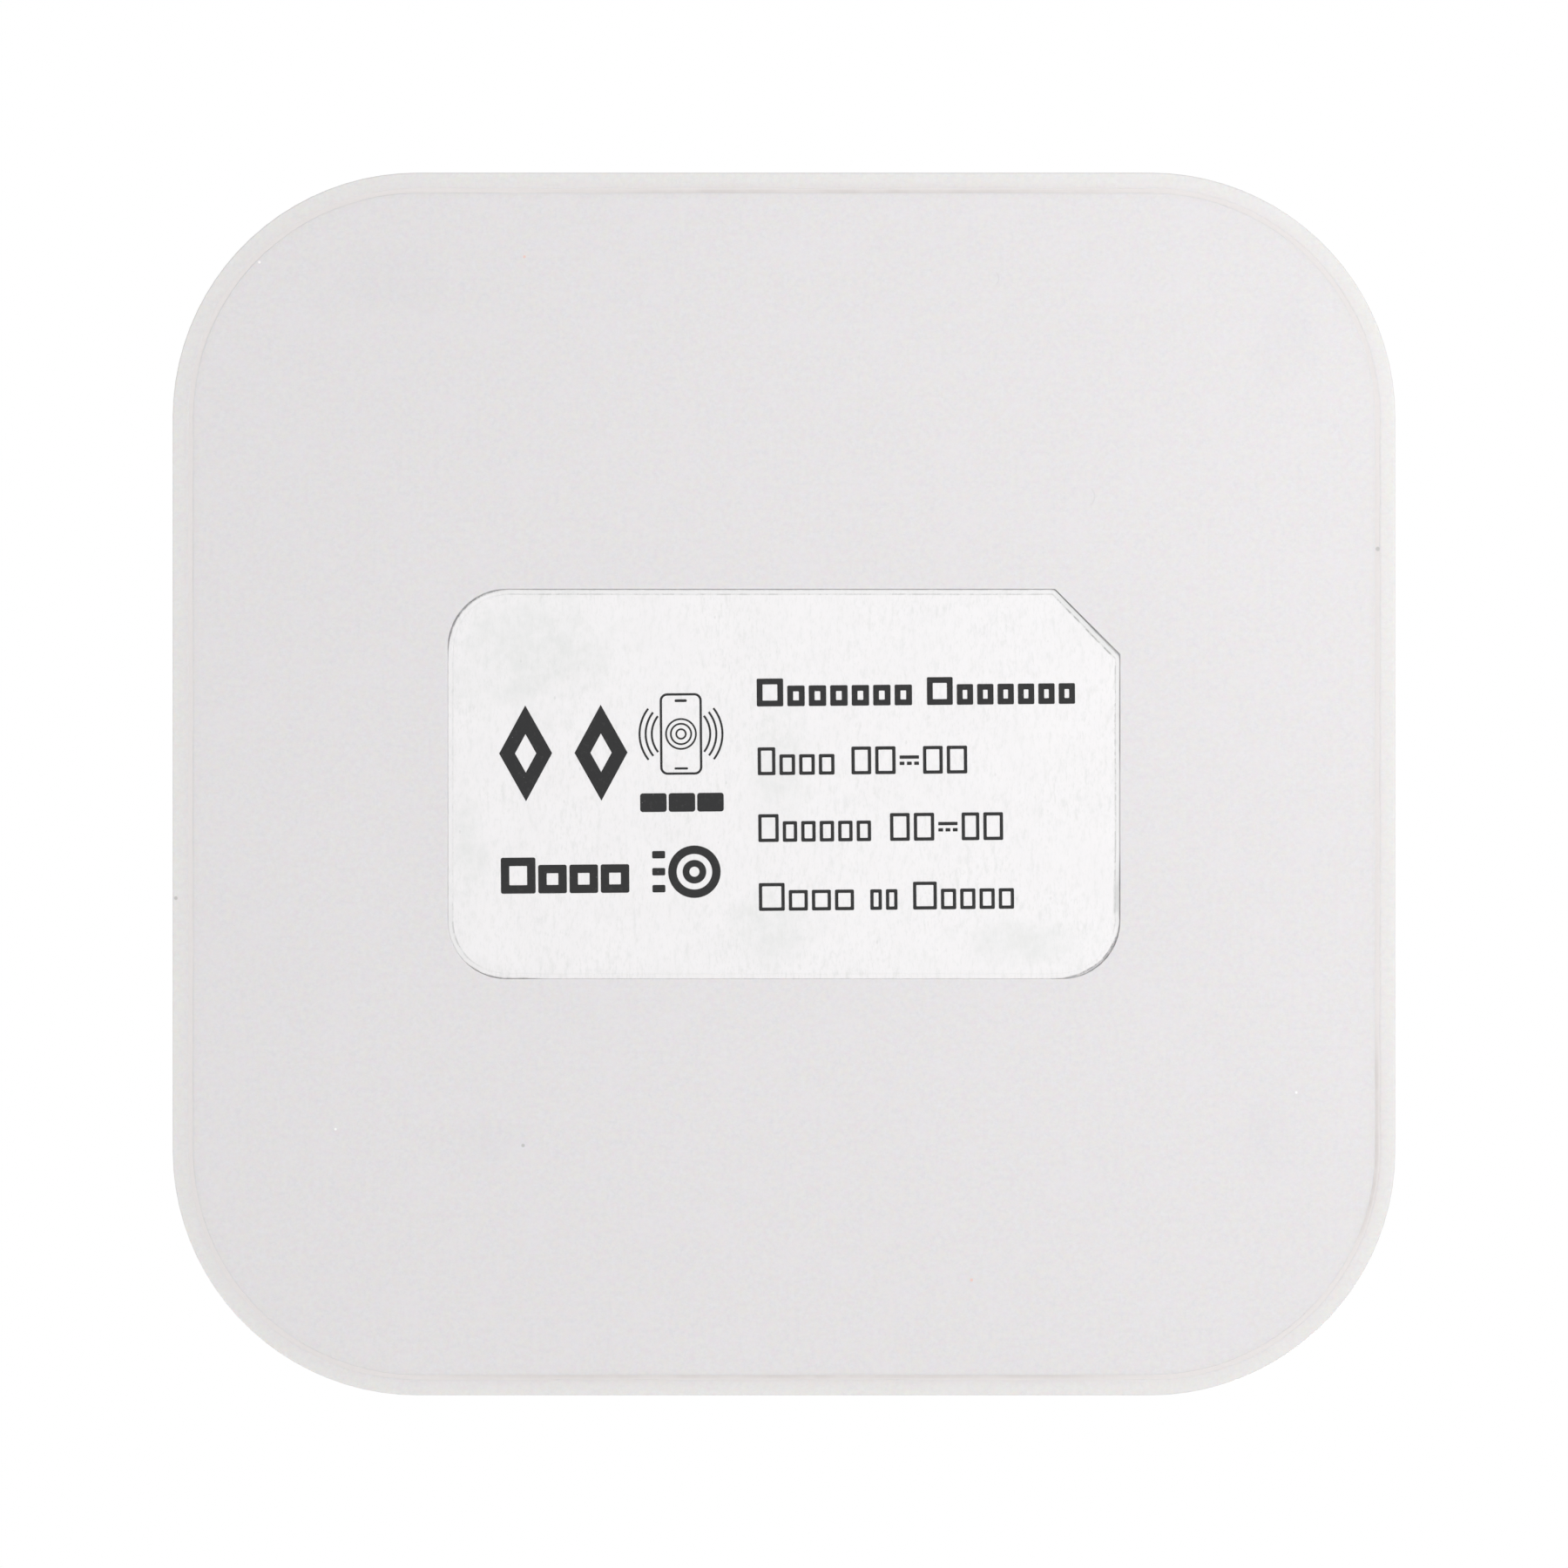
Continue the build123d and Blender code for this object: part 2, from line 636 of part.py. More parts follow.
# ---------------------------------------------------------------- parts on the board
with BuildPart() as controller_chip:
    chip_length, chip_width, chip_height = controller_size
    pad_width, pad_length, pad_height = controller_pad
    pad_reach = (chip_length - pad_length) / 2 + terminal_step
    with Locations(controller_middle):
        tall_box(chip_length, chip_width, board_top + terminal_step, board_top + chip_height)
        with Locations((-pin_one_offset, pin_one_offset, board_top + chip_height)):
            Cylinder(pin_one_radius, pin_one_depth, mode=Mode.SUBTRACT)
        for index in range(controller_pads):
            along = (index - (controller_pads - 1) / 2) * controller_pad_pitch
            for across in (-pad_reach, pad_reach):
                tall_box(pad_width, pad_length, board_top, board_top + pad_height, (along, across))
                tall_box(pad_length, pad_width, board_top, board_top + pad_height, (across, along))

with BuildPart() as bridge_transistors:
    case_length, case_width, case_height = transistor_size
    lead_width, lead_length, lead_height = transistor_lead
    with Locations(transistor_middle):
        with GridLocations(transistor_pitch, transistor_pitch, 2, 2):
            tall_box(case_length, case_width, board_top + terminal_step, board_top + case_height)
            for index in range(transistor_leads):
                lead_x = (index - (transistor_leads - 1) / 2) * transistor_lead_pitch
                for lead_y in (-case_width / 2, case_width / 2):
                    lead_top = board_top + lead_height
                    tall_box(lead_width, lead_length, board_top, lead_top, (lead_x, lead_y))

with BuildPart() as resonant_capacitors:
    with Locations(resonant_middle):
        with GridLocations(0, resonant_pitch, 1, resonant_count):
            terminal_chip(resonant_size, large_terminal)

with BuildPart() as input_capacitors:
    with Locations(*input_spots):
        terminal_chip(input_size, medium_terminal)

with BuildPart() as bypass_capacitors:
    with Locations(bypass_middle):
        with GridLocations(*bypass_pitch, 3, 2):
            terminal_chip(bypass_size, small_terminal)

with BuildPart() as chip_resistors:
    with Locations(resistor_middle):
        with GridLocations(*resistor_pitch, 2, 5):
            terminal_chip(resistor_size, small_terminal)

with BuildPart() as current_sense_resistor:
    with Locations(sense_middle):
        terminal_chip(sense_size, large_terminal)

with BuildPart() as voltage_regulator:
    case_length, case_width, case_height = regulator_size
    lead_width, lead_length, lead_height = regulator_lead
    lead_top = board_top + lead_height
    with Locations(regulator_middle):
        tall_box(case_length, case_width, board_top + regulator_standoff, board_top + case_height)
        for lead_x in (-regulator_lead_pitch, 0, regulator_lead_pitch):
            front = (lead_x, -regulator_lead_reach)
            tall_box(lead_width, lead_length, board_top, lead_top, front)
        for lead_x in (-regulator_lead_pitch, regulator_lead_pitch):
            back = (lead_x, regulator_lead_reach)
            tall_box(lead_width, lead_length, board_top, lead_top, back)

with BuildPart() as indicator_leds:
    # Two side-firing LEDs, each a small block with a lens that faces the light pipe.
    led_length, led_depth, led_height = led_size
    led_face = cavity_half - light_flange_depth - led_gap - led_lens_radius
    with Locations((light_x, led_face)):
        with GridLocations(led_pitch, 0, 2, 1):
            tall_box(led_length, led_depth, board_top, board_top + led_height, (0, -led_depth / 2))
            with Locations((0, 0, board_top + led_height / 2)):
                Sphere(led_lens_radius)


# ---------------------------------------------------------------- export
pieces = {
    "top_shell": top_shell,
    "bottom_cover": bottom_cover,
    "rating_label": rating_label,
    "light_pipe": light_pipe,
    "main_pcb": main_pcb,
    "pcb_screws": pcb_screws,
    "usb_shell": usb_shell,
    "usb_contacts": usb_contacts,
    "usb_tongue": usb_tongue,
    "coil_winding": coil_winding,
    "coil_leads": coil_leads,
    "lead_solder_joints": lead_solder_joints,
    "coil_mounting_tape": coil_mounting_tape,
    "ferrite_tape": ferrite_tape,
    "ferrite_shield": ferrite_shield,
    "foam_pad": foam_pad,
    "controller_chip": controller_chip,
    "bridge_transistors": bridge_transistors,
    "resonant_capacitors": resonant_capacitors,
    "input_capacitors": input_capacitors,
    "bypass_capacitors": bypass_capacitors,
    "chip_resistors": chip_resistors,
    "current_sense_resistor": current_sense_resistor,
    "voltage_regulator": voltage_regulator,
    "indicator_leds": indicator_leds,
}
for name, piece in pieces.items():
    piece.part.label = name
    export_step(piece.part, f"parts/{name}.step")
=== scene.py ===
"""Looks of the wireless charging pad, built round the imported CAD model.

The pad rests on its underside at z = 0, with +Z up and the USB socket on its +Y side. The main
camera looks at the underside from below, with +Y up in the picture, so +X is on its left.
Materials, the label and the dust are given in millimetres, the stage in metres.
"""

import math

import bmesh
import bpy
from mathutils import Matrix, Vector


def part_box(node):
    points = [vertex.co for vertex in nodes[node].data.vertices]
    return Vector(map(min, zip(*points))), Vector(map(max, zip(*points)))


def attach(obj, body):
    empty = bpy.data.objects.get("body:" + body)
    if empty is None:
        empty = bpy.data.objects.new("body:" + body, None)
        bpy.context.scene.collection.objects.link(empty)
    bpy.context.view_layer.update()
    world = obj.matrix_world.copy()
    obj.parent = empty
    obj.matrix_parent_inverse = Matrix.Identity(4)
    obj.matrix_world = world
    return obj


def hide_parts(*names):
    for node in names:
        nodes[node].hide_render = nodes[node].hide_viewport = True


MM = 0.001
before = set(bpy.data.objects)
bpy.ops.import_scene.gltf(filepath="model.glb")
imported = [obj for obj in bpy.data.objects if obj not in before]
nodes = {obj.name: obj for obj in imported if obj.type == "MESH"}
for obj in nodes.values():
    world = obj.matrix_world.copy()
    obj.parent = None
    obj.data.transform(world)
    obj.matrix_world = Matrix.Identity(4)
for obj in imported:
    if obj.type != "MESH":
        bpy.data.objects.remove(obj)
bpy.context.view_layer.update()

# ---------------------------------------------------------------- sizes, in millimetres
SIDE = 90.0
RIM_WIDTH = 1.4
SEAM_HALF = SIDE / 2 - RIM_WIDTH
SEAM_RADIUS = 16.6
POCKET_WIDTH, POCKET_DEPTH = 49.5, 28.7
POCKET_RADIUS, POCKET_CLIP = 4.3, 4.8
LABEL_FACE, LABEL_BACK = 0.13, 0.25


# ---------------------------------------------------------------- shader helper
class Shader:
    """A node material with short calls for the nodes used here. Inputs may be numbers or sockets."""

    def __init__(self, name):
        self.material = bpy.data.materials.new(name)
        self.material.use_nodes = True
        self.tree = self.material.node_tree
        self.tree.nodes.clear()
        coordinates = self.tree.nodes.new("ShaderNodeTexCoord")
        self.mm = self.vector("SCALE", coordinates.outputs["Object"], scale=1 / MM)

    def node(self, kind, **inputs):
        made = self.tree.nodes.new(kind)
        for name, value in inputs.items():
            self.feed(made.inputs[name], value)
        return made

    def feed(self, socket, value):
        if isinstance(value, bpy.types.NodeSocket):
            self.tree.links.new(value, socket)
        elif value is not None:
            if socket.type == "RGBA" and len(value) == 3:
                value = (*value, 1.0)
            socket.default_value = value

    def math(self, operation, a, b=0.0, c=0.0):
        made = self.node("ShaderNodeMath")
        made.operation = operation
        for socket, value in zip(made.inputs, (a, b, c)):
            self.feed(socket, value)
        return made.outputs[0]

    def vector(self, operation, a, b=(0, 0, 0), scale=1.0):
        made = self.node("ShaderNodeVectorMath")
        made.operation = operation
        self.feed(made.inputs[0], a)
        self.feed(made.inputs[1], b)
        if operation == "SCALE":
            made.inputs["Scale"].default_value = scale
        return made.outputs["Value" if operation in ("LENGTH", "DISTANCE") else "Vector"]

    def parts(self, vector):
        return self.node("ShaderNodeSeparateXYZ", Vector=vector).outputs

    def place(self, stretch=(1, 1, 1), turn=0.0, shift=(0, 0, 0)):
        made = self.node("ShaderNodeMapping", Vector=self.mm)
        made.inputs["Scale"].default_value = stretch
        made.inputs["Rotation"].default_value = (0, 0, turn)
        made.inputs["Location"].default_value = shift
        return made.outputs[0]

    def noise(self, scale, detail=2.0, roughness=0.5, vector=None):
        made = self.node(
            "ShaderNodeTexNoise",
            Vector=vector or self.mm,
            Scale=scale,
            Detail=detail,
            Roughness=roughness,
        )
        return made.outputs[0]

    def cells(self, scale, feature="F1", vector=None, output="Distance"):
        made = self.node("ShaderNodeTexVoronoi", Vector=vector or self.mm, Scale=scale)
        made.feature = feature
        return made.outputs[output]

    def ramp(self, value, low, high, out_low=0.0, out_high=1.0):
        """Smooth step of value from low to high, mapped to out_low..out_high."""
        made = self.node("ShaderNodeMapRange", Value=value)
        made.interpolation_type = "SMOOTHSTEP"
        for name, number in (
            ("From Min", low),
            ("From Max", high),
            ("To Min", out_low),
            ("To Max", out_high),
        ):
            made.inputs[name].default_value = number
        return made.outputs[0]

    def band(self, value, middle, half):
        """1 where value is at middle, falling to 0 at half to either side."""
        return self.ramp(self.math("ABSOLUTE", self.math("SUBTRACT", value, middle)), half, 0.0)

    def mix(self, factor, a, b):
        made = self.tree.nodes.new("ShaderNodeMix")
        made.data_type = "RGBA"
        self.feed(made.inputs[0], factor)
        self.feed(made.inputs[6], a)
        self.feed(made.inputs[7], b)
        return made.outputs[2]

    def bump(self, height, depth_mm, normal=None):
        made = self.node("ShaderNodeBump", Height=height)
        made.inputs["Distance"].default_value = depth_mm * MM
        if normal is not None:
            self.feed(made.inputs["Normal"], normal)
        return made.outputs[0]

    def finish(self, **inputs):
        """Ends the material in a Principled shader. Names are its inputs, with _ for a space."""
        named = {key.replace("_", " "): value for key, value in inputs.items()}
        shader = self.node("ShaderNodeBsdfPrincipled", **named)
        out = self.tree.nodes.new("ShaderNodeOutputMaterial")
        self.tree.links.new(shader.outputs[0], out.inputs["Surface"])
        return self.material

    # ------------------------------------------------ fields the pad's materials share
    def rounded_square(self, half_x, half_y, radius):
        """Distance in mm to a rounded rectangle's outline in plan: negative inside."""
        x, y, _ = self.parts(self.mm)
        over_x = self.math("SUBTRACT", self.math("ABSOLUTE", x), half_x - radius)
        over_y = self.math("SUBTRACT", self.math("ABSOLUTE", y), half_y - radius)
        out_x, out_y = self.math("MAXIMUM", over_x, 0.0), self.math("MAXIMUM", over_y, 0.0)
        squares = self.math("ADD", self.math("POWER", out_x, 2.0), self.math("POWER", out_y, 2.0))
        inside = self.math("MINIMUM", self.math("MAXIMUM", over_x, over_y), 0.0)
        reach = self.math("ADD", self.math("SQRT", squares), inside)
        return self.math("SUBTRACT", reach, radius)

    def underside(self):
        """1 on surfaces at the very bottom, 0 from a millimetre up."""
        return self.ramp(self.parts(self.mm)[2], 1.2, 0.6)

    def spot(self, x, y, radius, softness):
        """1 within radius of a point in plan, fading to 0 over softness."""
        plan = self.vector("MULTIPLY", self.mm, (1, 1, 0))
        away = self.vector("DISTANCE", plan, (x, y, 0))
        return self.ramp(away, radius + softness, radius)

    def strongest(self, spots, least):
        """The largest of least and of every spot here. A spot is x, y, radius, fade and strength."""
        field = least
        for x, y, radius, fade, strength in spots:
            here = self.math("MULTIPLY", self.spot(x, y, radius, fade), strength)
            field = self.math("MAXIMUM", field, here)
        return field

    def patch(self, x, y, reach_x, reach_y):
        """1 in the middle of an oval in plan, fading to 0 with a ragged edge."""
        plan = self.vector("SUBTRACT", self.mm, (x, y, 0))
        plan = self.vector("MULTIPLY", plan, (1 / reach_x, 1 / reach_y, 0))
        ragged = self.math("SUBTRACT", self.noise(0.4, detail=5.0, roughness=0.65), 0.5)
        away = self.math("ADD", self.vector("LENGTH", plan), self.math("MULTIPLY", ragged, 2.2))
        return self.ramp(away, 1.1, 0.2)

    def hair(self, x, y, radius, side):
        """1 along a short curved scratch: the part of a circle that lies nearest side, in plan."""
        plan = self.vector("MULTIPLY", self.mm, (1, 1, 0))
        away = self.vector("DISTANCE", plan, (x, y, 0))
        near = self.spot(x + side * radius, y, 0.5 * radius, 0.5 * radius)
        return self.math("MULTIPLY", self.band(away, radius, HAIR_HALF_WIDTH), near)


# ---------------------------------------------------------------- dirt, wear and painted shade, in plan
SEAM_DIRT_AND_SHADE_RUNS = (  # x, y, radius, fade and strength of the stretches where the joint is darkest: dirt, and painted shade of its recess
    (-4.0, 43.6, 10.0, 18.0, 0.33),
    (-43.6, 3.0, 16.0, 12.0, 0.08),
    (-43.6, -26.0, 3.0, 8.0, 0.42),
    (0.0, -43.6, 18.0, 12.0, 0.30),
)
LEAST_SEAM_DARKENING = 0.02
EDGE_GRIME_AND_SHADE = (  # the same for the grime and the painted shade of the gap to the pocket wall along the label's cut edge, where the gap is also wider
    (23.6, 13.2, 1.8, 2.6, 0.80),
    (-23.3, -13.0, 1.4, 2.8, 1.0),
    (-22.3, 11.9, 2.4, 1.8, 0.85),
    (0.0, 14.3, 17.0, 6.0, 0.36),
    (-24.7, 5.0, 2.0, 3.0, 0.25),
    (-24.7, -8.0, 1.5, 2.0, 0.40),
    (20.8, -14.0, 1.2, 2.2, 0.55),
)
LEAST_EDGE_DARKENING = 0.08
FRAME_DIRT = (  # the same for the kiss-cut line just inside that edge
    (-22.0, 11.6, 2.6, 1.2, 1.0),
    (24.0, -11.0, 1.4, 2.2, 0.60),
    (0.0, 14.0, 18.0, 5.0, 0.45),
    (-24.3, 0.0, 9.0, 3.0, 0.60),
    (24.3, 0.0, 9.0, 4.0, 0.20),
)
SMUDGES = (  # x, y, and reach along x and y, of the faint smudges on the cover
    (29.0, 37.0, 5.0, 3.4),
    (-37.0, 33.0, 3.0, 5.0),
    (-35.5, -25.5, 3.6, 3.8),
    (22.5, -26.5, 3.4, 2.2),
)
LABEL_PATCHES = (  # the same for the grey cloudy patches of the label
    (18.6, 9.6, 6.5, 5.5),
    (0.4, 1.0, 2.6, 5.5),
    (1.0, -10.6, 3.6, 3.2),
    (23.2, -5.0, 1.6, 5.0),
    (-17.5, -11.6, 5.5, 2.0),
)
HAIRS = ((-22.0, 21.15, 0.85, -1), (-15.2, 37.2, 0.6, -1))  # x, y, radius, and which side is marked
HAIR_HALF_WIDTH = 0.09
RIM_TICKS = ((-43.7, 17.3), (44.75, -8.4))
SPECKS = (  # x, y, radius and tone of the odd moulded-in speck on the underside
    (38.6, 38.4, 0.07, "bright"),
    (33.0, -25.4, 0.06, "bright"),
    (-37.7, -22.7, 0.06, "bright"),
    (19.1, 38.8, 0.07, "reddish"),
    (-13.8, -36.5, 0.08, "reddish"),
    (19.2, -26.6, 0.10, "dark"),
)
SPECK_TONES = {
    "bright": (0.98, 0.98, 0.98),
    "reddish": (0.83, 0.6, 0.55),
    "dark": (0.55, 0.54, 0.53),
}


def seam_dirt_and_shade(s):
    """How dark the joint line is here, from 0 to 1, in uneven runs: dirt, and painted shade of its
    recess.
    """
    uneven = s.ramp(s.noise(0.45, detail=4.0, roughness=0.6), 0.3, 0.7, 0.6, 1.3)
    return s.math("MULTIPLY", s.strongest(SEAM_DIRT_AND_SHADE_RUNS, LEAST_SEAM_DARKENING), uneven)


def edge_grime_and_shade(s):
    """How dark the label's cut edge is here, from 0 to 1, in dots: grime, and painted shade of its gap
    to the pocket wall.
    """
    dots = s.ramp(s.noise(1.6, detail=4.0, roughness=0.8), 0.40, 0.58, 0.3, 1.0)
    return s.math("MULTIPLY", s.strongest(EDGE_GRIME_AND_SHADE, LEAST_EDGE_DARKENING), dots)


def strongest_at(point, spots, least):
    """What Shader.strongest gives at a point in plan."""
    strengths = [least]
    for x, y, radius, fade, strength in spots:
        share = (radius + fade - (point - Vector((x, y))).length) / fade
        share = min(1.0, max(0.0, share))
        strengths.append(strength * share * share * (3 - 2 * share))
    return max(strengths)


# ---------------------------------------------------------------- white plastic
GRAIN_DEPTH, SCUFF_DEPTH = 0.004, -0.0015
# Scale, detail, roughness and shift of a noise, where it starts and is full, its strength and tint.
MOTTLE_LAYERS = (
    (2.6, 4.0, 0.80, (0, 0, 0), 0.35, 0.68, 0.50, (0.835, 0.835, 0.835)),  # grey grit
    (1.5, 4.0, 0.80, (31, 8, 2), 0.40, 0.72, 0.60, (1.0, 0.89, 0.93)),  # rosy
    (1.3, 5.0, 0.85, (5, 23, 7), 0.35, 0.70, 0.50, (1.0, 1.0, 0.88)),  # yellowed
    (0.35, 3.0, 0.5, (17, 5, 3), 0.45, 0.75, 0.35, (1.0, 0.975, 0.985)),  # broad blush
)
# a pinkish painted shade of light bounced in the joint; then dirt, with painted shade, that has spread
# from it
RIM_JOINT_SHADE, RIM_JOINT_SHADE_STRENGTH = (0.80, 0.54, 0.66), 0.09
RIM_DIRT_AND_SHADE, RIM_DIRT_AND_SHADE_STRENGTH = (0.60, 0.50, 0.45), 0.35
# a warm painted shade on the cover along the joint
WARM_JOINT_SHADE, WARM_JOINT_SHADE_STRENGTH = (0.72, 0.62, 0.50), 0.05
# grime and painted shade along the pocket's edge, in dots
POCKET_GRIME_AND_SHADE = (0.40, 0.40, 0.395)
SMUDGE_TONE = (0.60, 0.60, 0.65)


def white_plastic(name, base, shadow, add_marks):
    """Satin white ABS: spark-eroded grain, faint mottling and scuffs, and the marks add_marks draws."""
    s = Shader(name)
    mottle = s.noise(0.045, detail=3.0, roughness=0.55)
    fine_mottle = s.noise(0.9, detail=4.0, roughness=0.6)
    tone = s.math("ADD", s.math("MULTIPLY", mottle, 0.5), s.math("MULTIPLY", fine_mottle, 0.5))
    color = s.mix(s.ramp(tone, 0.3, 0.7), shadow, base)
    for scale, detail, roughness, shift, start, full, strength, tint in MOTTLE_LAYERS:
        layer = s.noise(scale, detail, roughness, vector=s.place(shift=shift))
        tinted = tuple(c * t for c, t in zip(base, tint))
        color = s.mix(s.ramp(layer, start, full, 0.0, strength), color, tinted)
    color = add_marks(s, color)

    grain = s.noise(5.5, detail=3.0, roughness=0.6)
    pits = s.cells(3.8)
    height = s.math("ADD", grain, s.math("MULTIPLY", pits, 0.4))
    scuffs = s.noise(1.0, detail=5.0, vector=s.place(stretch=(0.12, 6.0, 1.0), turn=0.6))
    scuffs = s.ramp(scuffs, 0.66, 0.74)
    roughness = s.math("ADD", s.ramp(grain, 0.3, 0.7, 0.40, 0.50), s.math("MULTIPLY", scuffs, -0.06))
    return s.finish(
        Base_Color=color,
        Roughness=roughness,
        Normal=s.bump(scuffs, SCUFF_DEPTH, s.bump(height, GRAIN_DEPTH)),
        Specular_IOR_Level=0.4,
        Subsurface_Weight=0.25,
        Subsurface_Radius=(1.0, 0.75, 0.6),
        Subsurface_Scale=0.5 * MM,
    )


def rim_marks(s, color):
    """Adds to the rim's colour: a pinkish painted shade and some dirt with painted shade that have
    spread from the joint, and ticks.
    """
    to_seam = s.rounded_square(SEAM_HALF, SEAM_HALF, SEAM_RADIUS)
    spread = s.math("MULTIPLY", s.ramp(to_seam, 0.95, 0.0), s.underside())
    # pinkish painted shade next to the joint
    color = s.mix(s.math("MULTIPLY", spread, RIM_JOINT_SHADE_STRENGTH), color, RIM_JOINT_SHADE)
    # a darker band spreading from the joint onto the rim: dirt, and painted shade of the joint
    dirt_and_shade = s.math("MULTIPLY", s.math("MULTIPLY", spread, seam_dirt_and_shade(s)), RIM_DIRT_AND_SHADE_STRENGTH)
    color = s.mix(dirt_and_shade, color, RIM_DIRT_AND_SHADE)
    for x, y in RIM_TICKS:
        tick = s.math("MULTIPLY", s.spot(x, y, 0.08, 0.1), s.underside())
        color = s.mix(tick, color, SPECK_TONES["dark"])
    return color


def underside_marks(s, color):
    """Adds to the cover's colour: a warm painted shade along the joint, grime and painted shade along
    the label's pocket, smudges and specks.
    """
    to_seam = s.rounded_square(SEAM_HALF, SEAM_HALF, SEAM_RADIUS)
    # warm painted shade along the joint
    warm_shade = s.math("MULTIPLY", s.band(to_seam, -0.2, 0.45), WARM_JOINT_SHADE_STRENGTH)
    color = s.mix(warm_shade, color, WARM_JOINT_SHADE)

    x, y, _ = s.parts(s.mm)
    pocket = s.rounded_square(POCKET_WIDTH / 2, POCKET_DEPTH / 2, POCKET_RADIUS)
    clip = s.math("SUBTRACT", y, s.math("ADD", x, (POCKET_WIDTH + POCKET_DEPTH) / 2 - POCKET_CLIP))
    pocket = s.math("MAXIMUM", pocket, s.math("MULTIPLY", clip, math.sqrt(0.5)))
    # grime and painted shade where the label meets the pocket wall
    grime_and_shade = s.math("MULTIPLY", s.band(pocket, -0.02, 0.07), edge_grime_and_shade(s))
    color = s.mix(grime_and_shade, color, POCKET_GRIME_AND_SHADE)

    streaks = s.noise(1.0, detail=4.0, roughness=0.6, vector=s.place(stretch=(1.2, 0.25, 1)))
    streaks = s.ramp(streaks, 0.35, 0.65, 0.04, 0.12)
    for smudge in SMUDGES:
        color = s.mix(s.math("MULTIPLY", s.patch(*smudge), streaks), color, SMUDGE_TONE)
    for hair in HAIRS:
        color = s.mix(s.math("MULTIPLY", s.hair(*hair), 0.3), color, SPECK_TONES["dark"])
    for x, y, radius, tone_name in SPECKS:
        speck = s.math("MULTIPLY", s.spot(x, y, radius, 0.06), s.underside())
        color = s.mix(speck, color, SPECK_TONES[tone_name])
    return color


# ---------------------------------------------------------------- mesh helpers
def turned(vector, angle):
    """A plan vector turned by an angle, counted from x to y."""
    cosine, sine = math.cos(angle), math.sin(angle)
    return Vector((vector.x * cosine - vector.y * sine, vector.x * sine + vector.y * cosine))


def bridge(mesh, near, far):
    """Joins two rings of as many vertices by a band of quads."""
    count = len(near)
    for k in range(count):
        j = (k + 1) % count
        mesh.faces.new((near[k], near[j], far[j], far[k]))


def add_piece(name, mesh, material):
    """Turns a finished bmesh into a piece that rides on the pad."""
    bmesh.ops.recalc_face_normals(mesh, faces=mesh.faces)
    data = bpy.data.meshes.new(name)
    mesh.to_mesh(data)
    mesh.free()
    data.materials.append(material)
    piece = bpy.data.objects.new(name, data)
    bpy.context.scene.collection.objects.link(piece)
    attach(piece, "root")
    return piece


# ---------------------------------------------------------------- label film
LABEL_CLIP_X, LABEL_CLIP_Y = 4.75, 4.9
LABEL_RADII = (4.28, 0.55, 0.55, 4.45, 4.25)  # from the +X +Y corner, by way of the clipped one
OUTLINE_STEP = 0.25
LABEL_TONE = (0.893, 0.878, 0.884)
PATCH_TONE = (0.765, 0.775, 0.765)
FIBRE_TONE, FINE_FIBRE_TONE = (0.77, 0.77, 0.765), (0.76, 0.76, 0.755)
HAIR_TONE = (0.45, 0.45, 0.44)
# the cut edge's dark tone is grime, and painted shade of the gap to the pocket wall
CUT_EDGE_GRIME_AND_SHADE, FRAME_STRIP_TONE = (0.34, 0.34, 0.335), (0.76, 0.765, 0.76)
FRAME_LINE_TONE, SIDE_SMUDGE_TONE = (0.40, 0.40, 0.395), (0.58, 0.585, 0.58)
SIDE_SMUDGE = (-24.5, -8.0, 1.2, 2.2)  # where the edge is smudged most
EDGE_INSETS = (0.0, 0.03, 0.09, 0.2, 0.3, 0.35, 0.4, 0.5)  # rings of vertices, in from the cut edge
FRAME_LINE_INSET = 0.35  # the die's kiss-cut line, just inside the edge
FRAME_LINE_DEPTH = 0.012
CLOSE_FIT, LOOSE_FIT = -0.045, 0.04  # how far the cut edge stands in from the label's outline
EDGE_WAVES = ((0.012, 7, 1), (0.01, 23, 0), (0.008, 61, 0))  # size, number round the edge and phase
EDGE_LIFT, LIFT_REACH = 0.02, 0.3  # how far the edge has come unstuck, and how far in
EDGE_ROLL = 0.02  # how far the cut edge is rolled over


def corner_arc(previous, corner, following):
    """Centre, first and last outward normal, and radius of the arc that rounds a corner."""
    here, radius = Vector(corner[:2]), corner[2]
    before = (Vector(previous[:2]) - here).normalized()
    after = (Vector(following[:2]) - here).normalized()
    half_angle = before.angle(after) / 2
    middle = here + (before + after).normalized() * (radius / math.sin(half_angle))
    start, stop = Vector((-before.y, before.x)), Vector((after.y, -after.x))
    if (here - middle).dot(start) < 0:
        start, stop = -start, -stop
    return middle, start, stop, radius


def label_outline(half_x, half_y):
    """Points and outward normals round the label, in mm from its centre, at a fine step."""
    places = (
        (half_x, half_y),
        (-half_x + LABEL_CLIP_X, half_y),
        (-half_x, half_y - LABEL_CLIP_Y),
        (-half_x, -half_y),
        (half_x, -half_y),
    )
    corners = [(*place, radius) for place, radius in zip(places, LABEL_RADII)]
    count = len(corners)
    arcs = [
        corner_arc(corners[i - 1], corner, corners[(i + 1) % count])
        for i, corner in enumerate(corners)
    ]
    points = []
    for i, (middle, start, stop, radius) in enumerate(arcs):
        turn = start.angle_signed(stop)
        steps = max(3, round(abs(turn) * radius / OUTLINE_STEP))
        for k in range(steps + 1):
            normal = turned(start, -turn * k / steps)
            points.append((middle + normal * radius, normal))
        next_middle, next_start, _, next_radius = arcs[(i + 1) % count]
        here, goal = points[-1][0], next_middle + next_start * next_radius
        steps = max(1, round((goal - here).length / OUTLINE_STEP))
        points += [(here.lerp(goal, k / steps), stop) for k in range(1, steps)]
    return points


